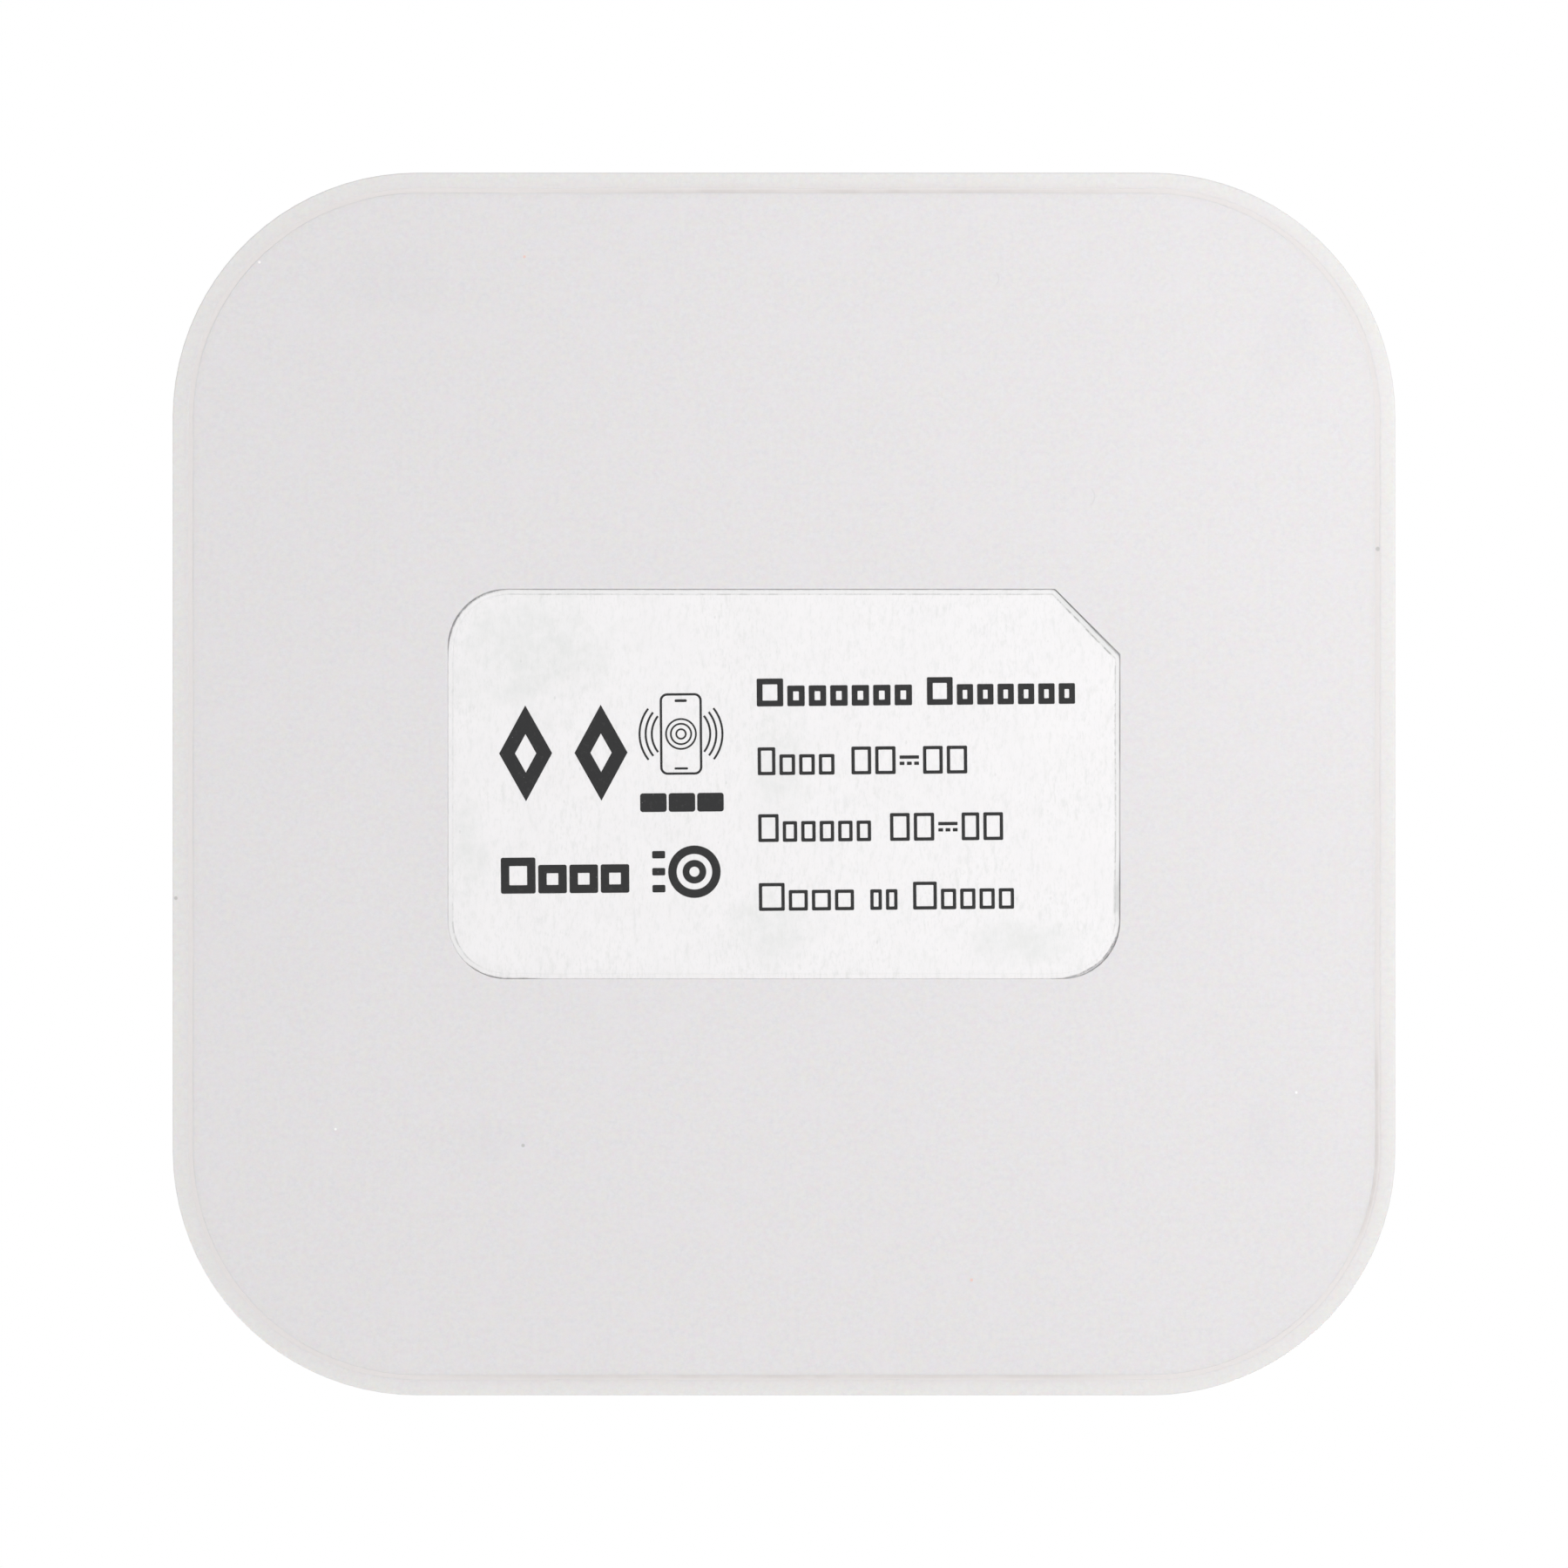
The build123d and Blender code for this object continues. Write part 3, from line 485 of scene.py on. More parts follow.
def label_ring(mesh, outline, center, inset, z):
    """A ring of vertices of the label, in from its cut edge, at a height in mm."""
    inset_layer = mesh.verts.layers.float["inset"]
    made = []
    for k, (point, normal) in enumerate(outline):
        at = 2 * math.pi * k / len(outline)
        wander = sum(size * math.sin(number * at + phase) for size, number, phase in EDGE_WAVES)
        # the same grime and painted shade marks set how loose the label sits, so the gap is wider where
        # they are strong
        dirt_and_shade = strongest_at(point, EDGE_GRIME_AND_SHADE, 0.0)
        fit = CLOSE_FIT + (LOOSE_FIT - CLOSE_FIT) * dirt_and_shade + wander * dirt_and_shade
        place = point - normal * (inset + fit)
        unstuck = max(0.0, 1 - inset / LIFT_REACH) * max(0.0, math.sin(3 * at + 2)) ** 2
        height = (z - EDGE_LIFT * unstuck) * MM
        vert = mesh.verts.new((center.x + place.x * MM, center.y + place.y * MM, height))
        vert[inset_layer] = inset
        made.append(vert)
    return made


def build_label():
    """The paper label as cut: a slightly uneven edge, and a kiss-cut line just inside it."""
    low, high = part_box("rating_label")
    center = (low + high) / 2
    outline = label_outline((high.x - low.x) / 2 / MM, (high.y - low.y) / 2 / MM)
    mesh = bmesh.new()
    mesh.verts.layers.float.new("inset")
    rings = [label_ring(mesh, outline, center, 0.0, LABEL_BACK)]
    for inset in EDGE_INSETS:
        grooved = FRAME_LINE_DEPTH if inset == FRAME_LINE_INSET else 0.0
        rolled = EDGE_ROLL if inset == 0.0 else 0.0
        rings.append(label_ring(mesh, outline, center, inset, LABEL_FACE + grooved + rolled))
    for outer, inner in zip(rings, rings[1:]):
        bridge(mesh, outer, inner)
    mesh.faces.new(rings[-1])
    mesh.faces.new(list(reversed(rings[0])))
    label = add_piece("label_film", mesh, label_paper())
    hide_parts("rating_label")
    return center


def label_paper():
    """Satin label stock: fibres along its height, cloudy patches and a cut edge darkened in dots by
    grime and painted shade.
    """
    s = Shader("label_paper")
    cloud = s.noise(0.25, detail=5.0, roughness=0.65, vector=s.place(shift=(4, 2, 0)))
    color = s.mix(s.ramp(cloud, 0.35, 0.75), LABEL_TONE, tuple(c * 0.975 for c in LABEL_TONE))
    veins = s.ramp(s.noise(0.9, detail=5.0, roughness=0.7), 0.3, 0.7, 0.25, 0.75)
    for patch in LABEL_PATCHES:
        color = s.mix(s.math("MULTIPLY", s.patch(*patch), veins), color, PATCH_TONE)

    fibres = s.noise(1.0, detail=4.0, roughness=0.7, vector=s.place(stretch=(2.6, 0.8, 1), turn=0.12))
    fine = s.noise(1.0, detail=3.0, roughness=0.75, vector=s.place(stretch=(5.5, 1.8, 1), turn=-0.1))
    dense = s.ramp(s.noise(0.16, detail=2.0, vector=s.place(shift=(6, 11, 0))), 0.35, 0.65, 0.6, 1.0)
    for streaks, strength, tone in ((fibres, 0.7, FIBRE_TONE), (fine, 0.6, FINE_FIBRE_TONE)):
        streaks = s.math("MULTIPLY", s.ramp(streaks, 0.48, 0.72, 0.0, strength), dense)
        color = s.mix(streaks, color, tone)
    hairs = s.cells(1.0, vector=s.place(stretch=(0.55, 0.3, 1), turn=0.1, shift=(2, 5, 0)))
    color = s.mix(s.ramp(hairs, 0.05, 0.03, 0.0, 0.2), color, HAIR_TONE)
    color = label_edge_marks(s, color)

    height = s.math("ADD", fibres, s.math("MULTIPLY", s.noise(6.0, detail=2.0), 0.5))
    return s.finish(
        Base_Color=color,
        Roughness=s.ramp(fibres, 0.3, 0.7, 0.36, 0.48),
        Normal=s.bump(height, 0.004),
        Specular_IOR_Level=0.45,
        Subsurface_Weight=0.1,
        Subsurface_Radius=(1.0, 0.9, 0.8),
        Subsurface_Scale=0.15 * MM,
    )


def label_edge_marks(s, color):
    """Adds to the label's colour: a cut edge darkened by grime and painted shade, the kiss-cut line
    inside it, and a smudge.
    """
    inset = s.node("ShaderNodeAttribute")
    inset.attribute_name = "inset"
    inset = inset.outputs["Fac"]
    # grime and painted shade of the gap along the cut edge
    grime_and_shade = s.math("MULTIPLY", s.ramp(inset, 0.13, 0.02), edge_grime_and_shade(s))
    color = s.mix(grime_and_shade, color, CUT_EDGE_GRIME_AND_SHADE)

    framed = s.strongest(FRAME_DIRT, 0.0)
    strip = s.math("MULTIPLY", s.ramp(inset, 0.45, 0.30, 0.0, 0.8), framed)
    color = s.mix(strip, color, FRAME_STRIP_TONE)
    dots = s.noise(1.3, detail=4.0, roughness=0.8, vector=s.place(shift=(7, 1, 0)))
    sparse = s.math("MULTIPLY", framed, s.ramp(dots, 0.42, 0.6, 0.2))
    line = s.math("MULTIPLY", s.band(inset, FRAME_LINE_INSET, 0.1), sparse)
    color = s.mix(line, color, FRAME_LINE_TONE)

    smudge = s.math("MULTIPLY", s.patch(*SIDE_SMUDGE), s.ramp(inset, 0.5, 0.4))
    return s.mix(s.math("MULTIPLY", smudge, 0.6), color, SIDE_SMUDGE_TONE)


# ---------------------------------------------------------------- print on the label
INK_THICKNESS = 0.012
PRINT_TURN = math.radians(0.5)  # the print sits slightly askew on its label
THIN_STROKE, BOLD_STROKE, HEAVY_STROKE = 0.245, 0.43, 0.62
CAP_HEIGHT, LOW_HEIGHT = 2.05, 1.52
BOX_GAP, BOX_CORNER = 0.3, 0.1
DC_BAR_RISE, DC_DASH_RISE = 1.12, 0.66  # of the direct-current sign's bar and dashes
DC_DASHES, DC_DASH_GAP, DC_CORNER = 3, 0.18, 0.04

DIAMOND_CENTERS = ((-19.0, 2.42), (-13.45, 2.42))
DIAMOND_HALF_WIDTH, DIAMOND_HALF_HEIGHT, DIAMOND_STROKE = 1.95, 3.53, 1.02
PHONE_CENTER, PHONE_WIDTH, PHONE_HEIGHT = (-7.55, 3.75), 3.1, 6.0
PHONE_STROKE, PHONE_CORNER = 0.17, 0.55
PHONE_SLOTS = ((0.9, 2.35, 0.2), (1.0, -2.62, 0.16))  # width, rise over the middle, thickness
COIL_RADII, COIL_STROKE = (0.35, 0.75, 1.1), 0.13
WAVE_RADII, WAVE_STROKE, WAVE_ANGLE = (2.15, 2.6, 3.05), 0.15, 38
BARS_LEFT, BARS_BASE, BAR_WIDTH, BAR_HEIGHT = -10.6, -1.98, 1.95, 1.38
BAR_COUNT, BAR_PITCH, BAR_CORNER = 3, 2.1, 0.2
BOLD_BOXES_LEFT, BOLD_BOXES_BASE, BOLD_BOX_GAP, BOLD_BOX_CORNER = -20.9, -7.9, 0.2, 0.15
BOLD_BOXES = ((2.55, 2.65), (2.1, 2.1), (2.1, 2.1), (2.1, 2.1))  # width and height
COIL_SIGN_CENTER, COIL_SIGN_RINGS = (-6.65, -6.4), ((1.62, 0.62), (0.62, 0.5))  # radius and stroke
COIL_DASH_LEFT, COIL_DASH_BASES = -9.75, (-7.9, -6.65, -5.4)
COIL_DASH_WIDTH, COIL_DASH_HEIGHT = 0.95, 0.55
ARC_STEPS, CORNER_STEPS = 48, 6
ALMOST_ONE = 0.999  # keeps a short side between two full rounds
SMALLEST_ROUND = 0.05


class Ink:
    """One printed mark: flat shapes with a little thickness, in mm right of and above the centre."""

    def __init__(self, name, center, material):
        self.name, self.center, self.material = name, center, material
        self.mesh = bmesh.new()

    def vert(self, point, z):
        right, above = turned(Vector(point), PRINT_TURN)
        return self.mesh.verts.new(
            (self.center.x - right * MM, self.center.y + above * MM, z * MM)
        )

    def loop(self, points):
        """The rings of vertices of one closed edge, on the ink's face and back, with its side."""
        face = [self.vert(p, LABEL_FACE - INK_THICKNESS) for p in points]
        back = [self.vert(p, LABEL_FACE + INK_THICKNESS) for p in points]
        bridge(self.mesh, face, back)
        return face, back

    def blob(self, points):
        """A filled shape."""
        for side in self.loop(points):
            self.mesh.faces.new(side)

    def frame(self, outer, inner):
        """A shape with a hole, from two outlines of as many points."""
        for outside, inside in zip(self.loop(outer), self.loop(inner)):
            bridge(self.mesh, outside, inside)

    def box(self, left, bottom, width, height, stroke=None, radius=None):
        """A rounded box, filled, or drawn as an outline when a stroke is given."""
        radius = min(width, height) / 2 * ALMOST_ONE if radius is None else radius
        outer = rounded_box(left, bottom, width, height, radius)
        if stroke is None:
            self.blob(outer)
            return
        inner = rounded_box(
            left + stroke, bottom + stroke, width - 2 * stroke, height - 2 * stroke,
            max(radius - stroke, SMALLEST_ROUND),
        )
        self.frame(outer, inner)

    def diamond(self, u, v, half_width, half_height, stroke):
        """A diamond drawn as an outline."""
        inradius = half_width * half_height / math.hypot(half_width, half_height)
        keep = 1 - stroke / inradius
        sides = ((1, 0), (0, 1), (-1, 0), (0, -1))
        outer = [(u + a * half_width, v + b * half_height) for a, b in sides]
        inner = [(u + a * half_width * keep, v + b * half_height * keep) for a, b in sides]
        self.frame(outer, inner)

    def arc(self, u, v, radius, stroke, start=0.0, stop=360.0):
        """A stroke along a circle, or along part of one, between two angles in degrees."""
        whole = stop - start >= 360.0
        angles = [
            math.radians(start + (stop - start) * k / ARC_STEPS)
            for k in range(ARC_STEPS + (not whole))
        ]
        outer, inner = (
            [(u + reach * math.cos(a), v + reach * math.sin(a)) for a in angles]
            for reach in (radius + stroke / 2, radius - stroke / 2)
        )
        if whole:
            self.frame(outer, inner)
        else:
            self.blob(outer + inner[::-1])

    def done(self):
        add_piece(self.name, self.mesh, self.material)


def rounded_box(left, bottom, width, height, radius):
    """Points round a box with rounded corners, always the same number of them."""
    points = []
    for quarter in range(4):
        u = left + (width - radius if quarter in (0, 3) else radius)
        v = bottom + (height - radius if quarter in (0, 1) else radius)
        for k in range(CORNER_STEPS + 1):
            angle = math.pi / 2 * (quarter + k / CORNER_STEPS)
            points.append((u + radius * math.cos(angle), v + radius * math.sin(angle)))
    return points


def print_ink():
    """Matt black ink, a little worn and starved in places."""
    s = Shader("print_ink")
    starved = s.noise(3.0, detail=4.0, roughness=0.7)
    color = s.mix(s.ramp(starved, 0.5, 0.8), (0.030, 0.030, 0.031), (0.055, 0.055, 0.055))
    specks = s.ramp(s.cells(1.4, vector=s.place(shift=(3, 1, 0))), 0.05, 0.02)
    color = s.mix(s.math("MULTIPLY", specks, 0.5), color, (0.4, 0.4, 0.4))
    return s.finish(
        Base_Color=color,
        Roughness=s.ramp(starved, 0.3, 0.7, 0.55, 0.7),
        Normal=s.bump(starved, 0.003),
        Specular_IOR_Level=0.2,
    )


# Each line of blank placeholder boxes: left edge, base line, stroke, then its boxes. A box is
# low (l) or tall (t); c is a direct-current sign and s is a space.
PRINT_LINES = {
    "print_title": (
        -1.95, 5.72, BOLD_STROKE,
        (("t", 1.95), *[("l", 1.28)] * 6, ("s", 0.5), ("t", 1.9), *[("l", 1.2)] * 6),
    ),
    "print_line_a": (
        -1.92, 0.66, THIN_STROKE,
        (("t", 1.3), *[("l", 1.15)] * 3, ("s", 0.65), ("t", 1.45), ("t", 1.5), ("c", 1.42),
         ("t", 1.45), ("t", 1.5)),
    ),
    "print_line_b": (
        -1.92, -4.26, THIN_STROKE,
        (("t", 1.5), *[("l", 1.06)] * 5, ("s", 0.8), ("t", 1.45), ("t", 1.5), ("c", 1.42),
         ("t", 1.3), ("t", 1.45)),
    ),
    "print_line_c": (
        -1.92, -9.33, THIN_STROKE,
        (("t", 1.9), *[("l", 1.4)] * 3, ("s", 0.6), ("l", 0.85), ("l", 0.85), ("s", 0.55),
         ("t", 1.75), *[("l", 1.12)] * 4),
    ),
}


def print_line(ink, left, base, stroke, boxes):
    """One line of print, from its left edge and base line."""
    heights = {"t": CAP_HEIGHT, "l": LOW_HEIGHT}
    for kind, width in boxes:
        if kind in heights:
            ink.box(left, base, width, heights[kind], stroke, radius=BOX_CORNER)
        elif kind == "c":
            ink.box(left, base + DC_BAR_RISE, width, stroke, radius=DC_CORNER)
            dash = (width - (DC_DASHES - 1) * DC_DASH_GAP) / DC_DASHES
            for k in range(DC_DASHES):
                along = left + k * (dash + DC_DASH_GAP)
                ink.box(along, base + DC_DASH_RISE, dash, stroke, radius=DC_CORNER)
        left += width + BOX_GAP


def print_diamonds(ink):
    """A row of open diamonds."""
    for center in DIAMOND_CENTERS:
        ink.diamond(*center, DIAMOND_HALF_WIDTH, DIAMOND_HALF_HEIGHT, DIAMOND_STROKE)


def print_pictogram(ink):
    """A phone with a coil on it, and waves to either side."""
    u, v = PHONE_CENTER
    left, base = u - PHONE_WIDTH / 2, v - PHONE_HEIGHT / 2
    ink.box(left, base, PHONE_WIDTH, PHONE_HEIGHT, PHONE_STROKE, radius=PHONE_CORNER)
    for width, rise, thickness in PHONE_SLOTS:
        ink.box(u - width / 2, v + rise, width, thickness)
    for radius in COIL_RADII:
        ink.arc(u, v, radius, COIL_STROKE)
    for radius in WAVE_RADII:
        for side in (0, 180):
            ink.arc(u, v, radius, WAVE_STROKE, side - WAVE_ANGLE, side + WAVE_ANGLE)


def print_bars(ink):
    """A row of solid bars under the pictogram."""
    for k in range(BAR_COUNT):
        ink.box(BARS_LEFT + k * BAR_PITCH, BARS_BASE, BAR_WIDTH, BAR_HEIGHT, radius=BAR_CORNER)


def print_bold_boxes(ink):
    """A row of heavy blank boxes, the first one the largest."""
    left = BOLD_BOXES_LEFT
    for width, height in BOLD_BOXES:
        ink.box(left, BOLD_BOXES_BASE, width, height, HEAVY_STROKE, radius=BOLD_BOX_CORNER)
        left += width + BOLD_BOX_GAP


def print_coil_sign(ink):
    """A coil as rings, with a column of dashes beside it."""
    for base in COIL_DASH_BASES:
        ink.box(COIL_DASH_LEFT, base, COIL_DASH_WIDTH, COIL_DASH_HEIGHT, radius=BOX_CORNER)
    for radius, stroke in COIL_SIGN_RINGS:
        ink.arc(*COIL_SIGN_CENTER, radius, stroke)


def print_label(center):
    """The print: blank boxes in place of lettering, and plain signs in place of approval marks."""
    material = print_ink()
    for name, (left, base, stroke, boxes) in PRINT_LINES.items():
        ink = Ink(name, center, material)
        print_line(ink, left, base, stroke, boxes)
        ink.done()
    for draw in (print_diamonds, print_pictogram, print_bars, print_bold_boxes, print_coil_sign):
        ink = Ink(draw.__name__, center, material)
        draw(ink)
        ink.done()


# ---------------------------------------------------------------- dust in the joint line
DUST_INSIDE, DUST_OUTSIDE = -0.14, 0.28  # how far it reaches from the joint line, in mm
DUST_FACE, DUST_BACK, DUST_CROWN = 0.02, 0.4, 0.005
DUST_RINGS = (  # reach from the joint line, height, and how much it is stirred up
    (DUST_INSIDE, DUST_BACK, 0.0),
    (DUST_INSIDE, DUST_FACE, 1.0),
    (0.0, DUST_FACE + DUST_CROWN, 1.4),
    (DUST_OUTSIDE, DUST_FACE, 1.0),
    (DUST_OUTSIDE, DUST_BACK, 0.0),
)
DUST_STEP = 0.4
LONG_SWELL, SHORT_SWELL = 0.006, 0.005
DUST_TONES = ((0.775, 0.742, 0.734), (0.799, 0.764, 0.756))
# the dust's darker runs are dirt, and painted shade of the recess it fills
DUST_DIRT_AND_SHADE = (0.53, 0.49, 0.475)


def seam_dust():
    """Packed pale dust: clumped, a little warm, and quite matt."""
    s = Shader("seam_dust")
    clumps = s.noise(2.5, detail=4.0, roughness=0.7)
    color = s.mix(s.ramp(clumps, 0.3, 0.7), *DUST_TONES)
    to_seam = s.rounded_square(SEAM_HALF, SEAM_HALF, SEAM_RADIUS)
    # darker in runs near the joint line: dirt, and painted shade of the recess the dust fills
    dirt_and_shade = s.math("MULTIPLY", seam_dirt_and_shade(s), s.ramp(to_seam, 0.26, 0.02))
    color = s.mix(dirt_and_shade, color, DUST_DIRT_AND_SHADE)
    for x, y in RIM_TICKS:
        color = s.mix(s.spot(x, y, 0.1, 0.12), color, SPECK_TONES["dark"])
    return s.finish(
        Base_Color=color,
        Roughness=s.ramp(clumps, 0.3, 0.7, 0.8, 0.95),
        Normal=s.bump(clumps, 0.01),
        Specular_IOR_Level=0.2,
    )


def seam_path():
    """Points and outward normals along the joint line, in mm, at an even step."""
    straight = SEAM_HALF - SEAM_RADIUS
    path = []
    for quarter in range(4):
        heading = math.pi / 2 * quarter
        out = Vector((math.cos(heading), math.sin(heading)))
        along = Vector((-out.y, out.x))
        for k in range(round(2 * straight / DUST_STEP)):
            path.append((out * SEAM_HALF + along * (k * DUST_STEP - straight), out))
        arc_steps = round(SEAM_RADIUS * math.pi / 2 / DUST_STEP)
        middle = (out + along) * straight
        for k in range(arc_steps):
            angle = heading + math.pi / 2 * k / arc_steps
            normal = Vector((math.cos(angle), math.sin(angle)))
            path.append((middle + normal * SEAM_RADIUS, normal))
    return path


def build_seam_dust():
    """A thin line of dust that fills the joint between the cover and the shell's rim."""
    mesh = bmesh.new()
    path = seam_path()
    rings = []
    for reach, z, stir in DUST_RINGS:
        ring = []
        for k, (point, normal) in enumerate(path):
            at = 2 * math.pi * k / len(path)
            swell = LONG_SWELL * math.sin(17 * at + 9 * reach) + SHORT_SWELL * math.sin(53 * at + 2)
            place = point + normal * reach
            ring.append(mesh.verts.new((place.x * MM, place.y * MM, (z + swell * stir) * MM)))
        rings.append(ring)
    for near, far in zip(rings, rings[1:] + rings[:1]):
        bridge(mesh, near, far)
    add_piece("joint_dust", mesh, seam_dust())


# ---------------------------------------------------------------- materials of the hidden parts
def moulded(name, base, shade, roughness=0.45, grain=4.0, depth=0.004):
    """Moulded plastic or foam: grain, mottling and a worn sheen."""
    s = Shader(name)
    mottle = s.noise(0.4, detail=4.0)
    fine = s.noise(grain, detail=4.0, roughness=0.65)
    color = s.mix(s.ramp(mottle, 0.3, 0.7), shade, base)
    scuffs = s.ramp(s.noise(1.0, detail=5.0, vector=s.place(stretch=(0.3, 5, 1), turn=0.7)), 0.62, 0.72)
    color = s.mix(s.math("MULTIPLY", scuffs, 0.15), color, (0.7, 0.7, 0.7))
    return s.finish(
        Base_Color=color,
        Roughness=s.ramp(fine, 0.3, 0.7, roughness - 0.08, roughness + 0.1),
        Normal=s.bump(fine, depth),
    )


def metal(name, base, shade, roughness=0.3, stretch=(0.4, 8.0, 8.0), tarnish=(0.3, 0.25, 0.2)):
    """Rolled or plated metal: fine directional lines, uneven polish and a little tarnish."""
    s = Shader(name)
    lines = s.noise(1.0, detail=4.0, roughness=0.7, vector=s.place(stretch=stretch))
    clouds = s.noise(0.8, detail=4.0)
    color = s.mix(s.ramp(lines, 0.3, 0.7), shade, base)
    color = s.mix(s.ramp(clouds, 0.6, 0.85, 0.0, 0.4), color, tarnish)
    return s.finish(
        Base_Color=color,
        Metallic=1.0,
        Roughness=s.math("ADD", s.ramp(lines, 0.3, 0.7, roughness - 0.08, roughness + 0.08),
                         s.ramp(clouds, 0.5, 0.8, 0.0, 0.12)),
        Normal=s.bump(lines, 0.002),
    )


def speckled(name, base, grain_tone, scale, roughness, depth=0.003):
    """Sintered or cast material: fine grains of a second tone in a matt ground."""
    s = Shader(name)
    grains = s.cells(scale, output="Color")
    grains = s.parts(grains)[0]
    soft = s.noise(scale * 0.2, detail=4.0)
    color = s.mix(s.ramp(grains, 0.55, 0.95), base, grain_tone)
    color = s.mix(s.ramp(soft, 0.5, 0.8, 0.0, 0.35), color, tuple(c * 0.7 for c in base))
    return s.finish(
        Base_Color=color,
        Roughness=s.ramp(soft, 0.3, 0.7, roughness - 0.07, roughness + 0.07),
        Normal=s.bump(s.math("ADD", grains, soft), depth),
    )


def board_laminate():
    """Green solder mask over copper tracks, with a weave faintly showing through."""
    s = Shader("board_laminate")
    cell = s.cells(0.55, feature="F1", output="Color")
    lane = s.parts(cell)[0]
    edges = s.cells(0.55, feature="DISTANCE_TO_EDGE")
    tracks = s.ramp(edges, 0.09, 0.05)
    pour = s.ramp(lane, 0.45, 0.5)
    x, y, _ = s.parts(s.mm)
    weave = s.math("MULTIPLY", s.math("SINE", s.math("MULTIPLY", x, 9.0)),
                   s.math("SINE", s.math("MULTIPLY", y, 9.0)))
    color = s.mix(pour, (0.010, 0.085, 0.032), (0.020, 0.150, 0.055))
    color = s.mix(s.math("MULTIPLY", tracks, 0.8), color, (0.006, 0.060, 0.022))
    color = s.mix(s.ramp(weave, 0.2, 1.0, 0.0, 0.15), color, (0.05, 0.19, 0.08))
    height = s.math("ADD", s.math("MULTIPLY", pour, 0.6), s.math("MULTIPLY", weave, 0.15))
    return s.finish(
        Base_Color=color,
        Roughness=s.ramp(s.noise(1.5, detail=3.0), 0.3, 0.7, 0.22, 0.36),
        Normal=s.bump(height, 0.02),
        Coat_Weight=0.4,
    )


def litz_copper():
    """Enamelled copper strands, with a twist along the wire and uneven varnish; the colour is painted
    darker in the grooves between strands, as shade.
    """
    s = Shader("litz_copper")
    x, y, z = s.parts(s.mm)
    around = s.math("ARCTAN2", y, x)
    twist = s.math("SINE", s.math("ADD", s.math("MULTIPLY", around, 90.0),
                                  s.math("MULTIPLY", z, 16.0)))
    strands = s.math("ADD", twist, s.math("MULTIPLY", s.noise(5.0, detail=3.0), 0.8))
    # painted shade: darker in the grooves between strands and lighter on their crowns, following the
    # same relief as the bump
    color = s.mix(s.ramp(strands, -0.6, 1.2), (0.25, 0.075, 0.02), (0.72, 0.30, 0.11))
    varnish = s.noise(0.7, detail=3.0)
    color = s.mix(s.ramp(varnish, 0.55, 0.8, 0.0, 0.4), color, (0.34, 0.13, 0.04))
    return s.finish(
        Base_Color=color,
        Metallic=0.85,
        Roughness=s.ramp(strands, -0.5, 1.0, 0.42, 0.26),
        Normal=s.bump(strands, 0.03),
        Coat_Weight=0.3,
    )


def clear_tape(name, base, shade, weight):
    """Thin polyester tape: long rolling streaks, tiny bubbles and a soft shine."""
    s = Shader(name)
    streaks = s.noise(1.0, detail=4.0, vector=s.place(stretch=(0.15, 3.0, 1.0)))
    bubbles = s.ramp(s.cells(0.9), 0.16, 0.08)
    color = s.mix(s.ramp(streaks, 0.3, 0.7), shade, base)
    color = s.mix(s.math("MULTIPLY", bubbles, 0.4), color, (0.9, 0.9, 0.88))
    return s.finish(
        Base_Color=color,
        Roughness=s.ramp(streaks, 0.3, 0.7, 0.12, 0.28),
        Transmission_Weight=weight,
        Normal=s.bump(s.math("ADD", streaks, bubbles), 0.006),
    )


def light_pipe_plastic():
    """Frosted clear plastic, which scatters the light that falls on it."""
    s = Shader("light_pipe_plastic")
    haze = s.noise(2.5, detail=4.0)
    return s.finish(
        Base_Color=s.mix(s.ramp(haze, 0.3, 0.7), (0.74, 0.77, 0.79), (0.88, 0.90, 0.91)),
        Roughness=s.ramp(haze, 0.3, 0.7, 0.30, 0.45),
        Transmission_Weight=0.35,
        Subsurface_Weight=0.4,
        Subsurface_Radius=(1, 1, 1),
        Subsurface_Scale=0.8 * MM,
        Normal=s.bump(haze, 0.003),
    )


# ---------------------------------------------------------------- dress the CAD nodes
def dress(material, *node_names):
    """Puts one material on some CAD nodes."""
    for node_name in node_names:
        slots = nodes[node_name].data.materials
        slots.clear()
        slots.append(material)


SHELL_WHITES = ((0.801, 0.803, 0.810), (0.783, 0.785, 0.792))
COVER_WHITES = ((0.784, 0.777, 0.802), (0.767, 0.760, 0.784))
dress(white_plastic("shell_white", *SHELL_WHITES, rim_marks), "top_shell")
dress(white_plastic("cover_white", *COVER_WHITES, underside_marks), "bottom_cover")
dress(light_pipe_plastic(), "light_pipe")
dress(board_laminate(), "main_pcb")
dress(metal("screw_steel", (0.62, 0.62, 0.63), (0.42, 0.42, 0.43), 0.32, (2, 2, 0.3)), "pcb_screws")
dress(metal("socket_steel", (0.66, 0.66, 0.67), (0.50, 0.50, 0.51), 0.26, (8, 0.5, 8)), "usb_shell")
dress(metal("contact_gold", (0.86, 0.62, 0.24), (0.62, 0.42, 0.14), 0.22, (8, 0.5, 8)), "usb_contacts")
dress(moulded("socket_plastic", (0.016, 0.016, 0.017), (0.010, 0.010, 0.011), 0.42), "usb_tongue")
dress(litz_copper(), "coil_winding", "coil_leads")
dress(
    metal("solder", (0.66, 0.66, 0.65), (0.44, 0.44, 0.44), 0.34, (1.5, 1.5, 1.5)),
    "lead_solder_joints",
)
dress(clear_tape("mounting_tape", (0.86, 0.85, 0.80), (0.74, 0.73, 0.68), 0.0), "coil_mounting_tape")
dress(clear_tape("film_tape", (0.80, 0.81, 0.80), (0.62, 0.63, 0.62), 0.55), "ferrite_tape")
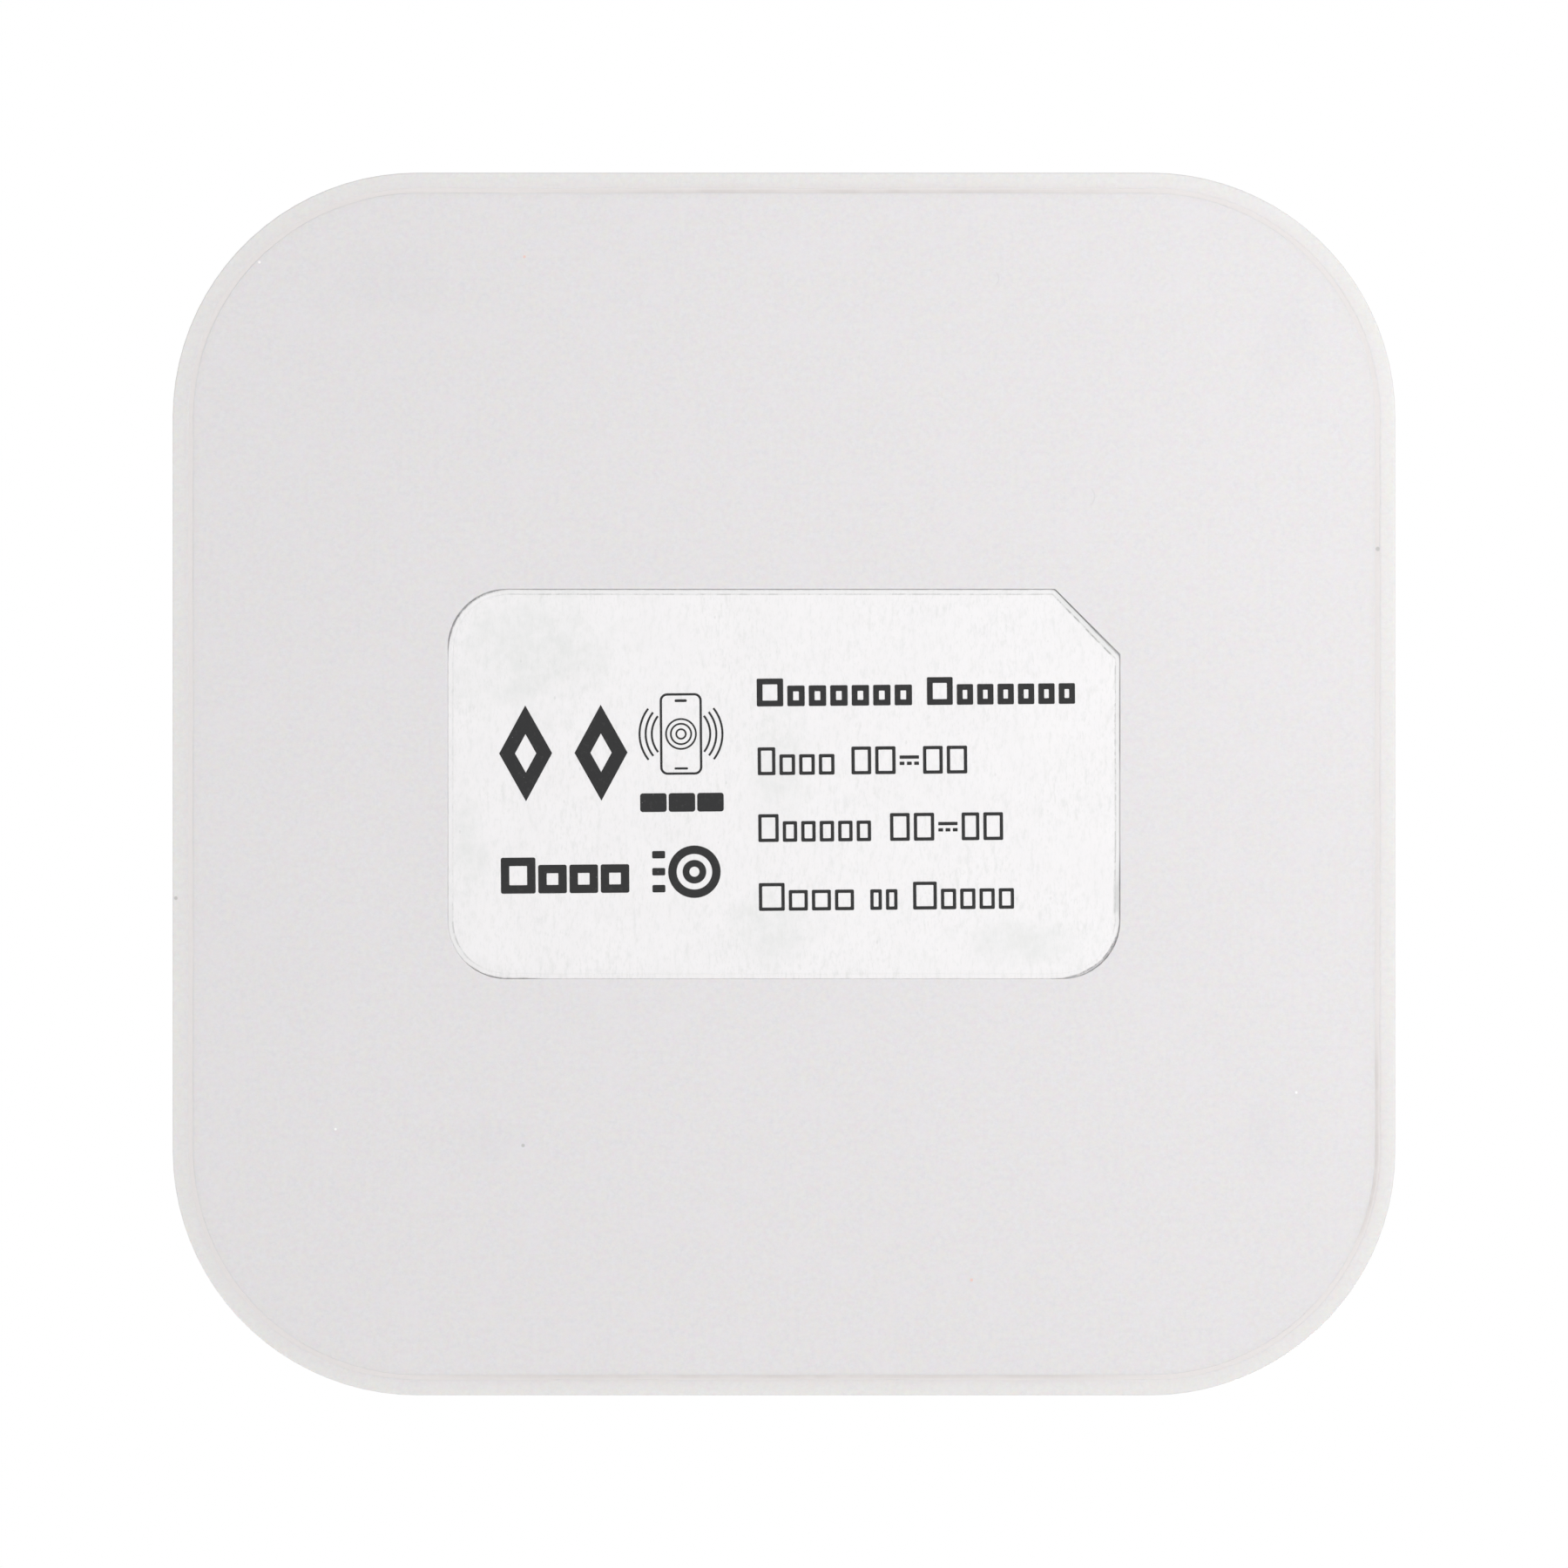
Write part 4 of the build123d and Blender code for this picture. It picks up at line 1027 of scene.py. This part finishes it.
dress(speckled("ferrite", (0.028, 0.028, 0.030), (0.07, 0.07, 0.074), 7.0, 0.5), "ferrite_shield")
dress(speckled("foam", (0.035, 0.036, 0.038), (0.006, 0.006, 0.007), 3.0, 0.92, 0.08), "foam_pad")
dress(
    moulded("chip_epoxy", (0.022, 0.022, 0.024), (0.013, 0.013, 0.014), 0.55, 9.0),
    "controller_chip", "bridge_transistors", "voltage_regulator",
)
dress(
    speckled("capacitor_ceramic", (0.40, 0.27, 0.15), (0.50, 0.36, 0.22), 8.0, 0.4),
    "resonant_capacitors", "input_capacitors", "bypass_capacitors",
)
dress(
    speckled("resistor_ceramic", (0.045, 0.045, 0.048), (0.60, 0.59, 0.56), 6.0, 0.38),
    "chip_resistors", "current_sense_resistor",
)
dress(moulded("led_resin", (0.80, 0.79, 0.72), (0.66, 0.64, 0.55), 0.25), "indicator_leds")

print_label(build_label())
build_seam_dust()

# ---------------------------------------------------------------- stage
FLOOR_HALF = 3.0
FLOOR_LEVEL = 0.16 * MM  # over the rounded foot of the wall, which is lit from below
FLOOR_TONES = ((0.66, 0.66, 0.655), (0.71, 0.71, 0.705))
CAMERA_LENS, SENSOR_WIDTH = 100.0, 36.0
PAD_SHARE = 0.780  # of the picture's width
CAMERA_DISTANCE = SIDE * MM / PAD_SHARE * CAMERA_LENS / SENSOR_WIDTH
WHITE_POINT = 1.0  # what the camera sees behind the pad
AMBIENT_BELOW, AMBIENT_ABOVE = 0.546, 0.40  # what lights the pad
AREA_LIGHTS = (  # name, place, height of what it is aimed at, size and power
    ("under_key", (-0.20, 0.06, -0.30), 0.0, 0.20, 0.585),
    ("under_fill", (0.10, -0.05, -0.60), 0.0, 0.45, 0.536),
    ("side_fill", (0.40, -0.40, -0.04), 0.004, 0.20, 0.78),
    ("top_key", (-0.35, -0.45, 0.60), 0.0, 0.30, 4.2),
    ("top_soft", (0.45, 0.30, 0.75), 0.0, 0.6, 1.4),
)


def add_floor():
    """A pale floor seen by the camera and from above only, so that the underside can be seen and lit."""
    mesh = bpy.data.meshes.new("floor")
    h, z = FLOOR_HALF, FLOOR_LEVEL
    mesh.from_pydata([(-h, -h, z), (h, -h, z), (h, h, z), (-h, h, z)], [], [(0, 1, 2, 3)])
    floor = bpy.data.objects.new("floor", mesh)
    bpy.context.scene.collection.objects.link(floor)
    s = Shader("floor_paper")
    color = s.mix(s.noise(0.01, detail=4.0), *FLOOR_TONES)
    shader = s.node("ShaderNodeBsdfDiffuse", Color=color)
    clear = s.tree.nodes.new("ShaderNodeBsdfTransparent")
    geometry = s.tree.nodes.new("ShaderNodeNewGeometry")
    choose = s.tree.nodes.new("ShaderNodeMixShader")
    s.tree.links.new(geometry.outputs["Backfacing"], choose.inputs[0])
    s.tree.links.new(shader.outputs[0], choose.inputs[1])
    s.tree.links.new(clear.outputs[0], choose.inputs[2])
    out = s.tree.nodes.new("ShaderNodeOutputMaterial")
    s.tree.links.new(choose.outputs[0], out.inputs["Surface"])
    mesh.materials.append(s.material)
    floor.visible_diffuse = False
    floor.visible_glossy = False
    floor.visible_transmission = False
    floor.visible_shadow = False


def add_area_light(name, location, aim_height, size, power):
    """A soft round white light, aimed at the pad's middle and out of the camera's sight."""
    data = bpy.data.lights.new(name, "AREA")
    data.shape = "DISK"
    data.size = size
    data.energy = power
    light = bpy.data.objects.new(name, data)
    bpy.context.scene.collection.objects.link(light)
    light.location = location
    light.rotation_mode = "QUATERNION"
    direction = Vector((0, 0, aim_height)) - Vector(location)
    light.rotation_quaternion = direction.to_track_quat("-Z", "Y")
    light.visible_camera = False


def add_world():
    """Even white light, softer from above, with a pure white background behind the object."""
    world = bpy.data.worlds.new("studio")
    bpy.context.scene.world = world
    world.use_nodes = True
    tree = world.node_tree
    tree.nodes.clear()
    path = tree.nodes.new("ShaderNodeLightPath")
    strength = tree.nodes.new("ShaderNodeMix")
    coordinates = tree.nodes.new("ShaderNodeTexCoord")
    height = tree.nodes.new("ShaderNodeSeparateXYZ")
    tree.links.new(coordinates.outputs["Generated"], height.inputs[0])
    ambient = tree.nodes.new("ShaderNodeMapRange")
    tree.links.new(height.outputs["Z"], ambient.inputs["Value"])
    for name, number in (
        ("From Min", -0.1),
        ("From Max", 0.25),
        ("To Min", AMBIENT_BELOW),
        ("To Max", AMBIENT_ABOVE),
    ):
        ambient.inputs[name].default_value = number
    tree.links.new(ambient.outputs[0], strength.inputs[2])
    strength.inputs[3].default_value = WHITE_POINT
    tree.links.new(path.outputs["Is Camera Ray"], strength.inputs[0])
    background = tree.nodes.new("ShaderNodeBackground")
    background.inputs["Color"].default_value = (1, 1, 1, 1)
    tree.links.new(strength.outputs[0], background.inputs["Strength"])
    out = tree.nodes.new("ShaderNodeOutputWorld")
    tree.links.new(background.outputs[0], out.inputs["Surface"])


def add_camera():
    """The main camera, straight below the pad, with the socket's side up in the picture."""
    data = bpy.data.cameras.new("camera")
    data.lens = CAMERA_LENS
    data.sensor_width = SENSOR_WIDTH
    data.clip_start, data.clip_end = 0.01, 20.0
    camera = bpy.data.objects.new("camera", data)
    bpy.context.scene.collection.objects.link(camera)
    camera.location = (0, 0, -CAMERA_DISTANCE)
    camera.rotation_euler = (0, math.pi, 0)
    bpy.context.scene.camera = camera


add_floor()
add_world()
for area_light in AREA_LIGHTS:
    add_area_light(*area_light)
add_camera()
bpy.context.scene.view_settings.view_transform = "Standard"
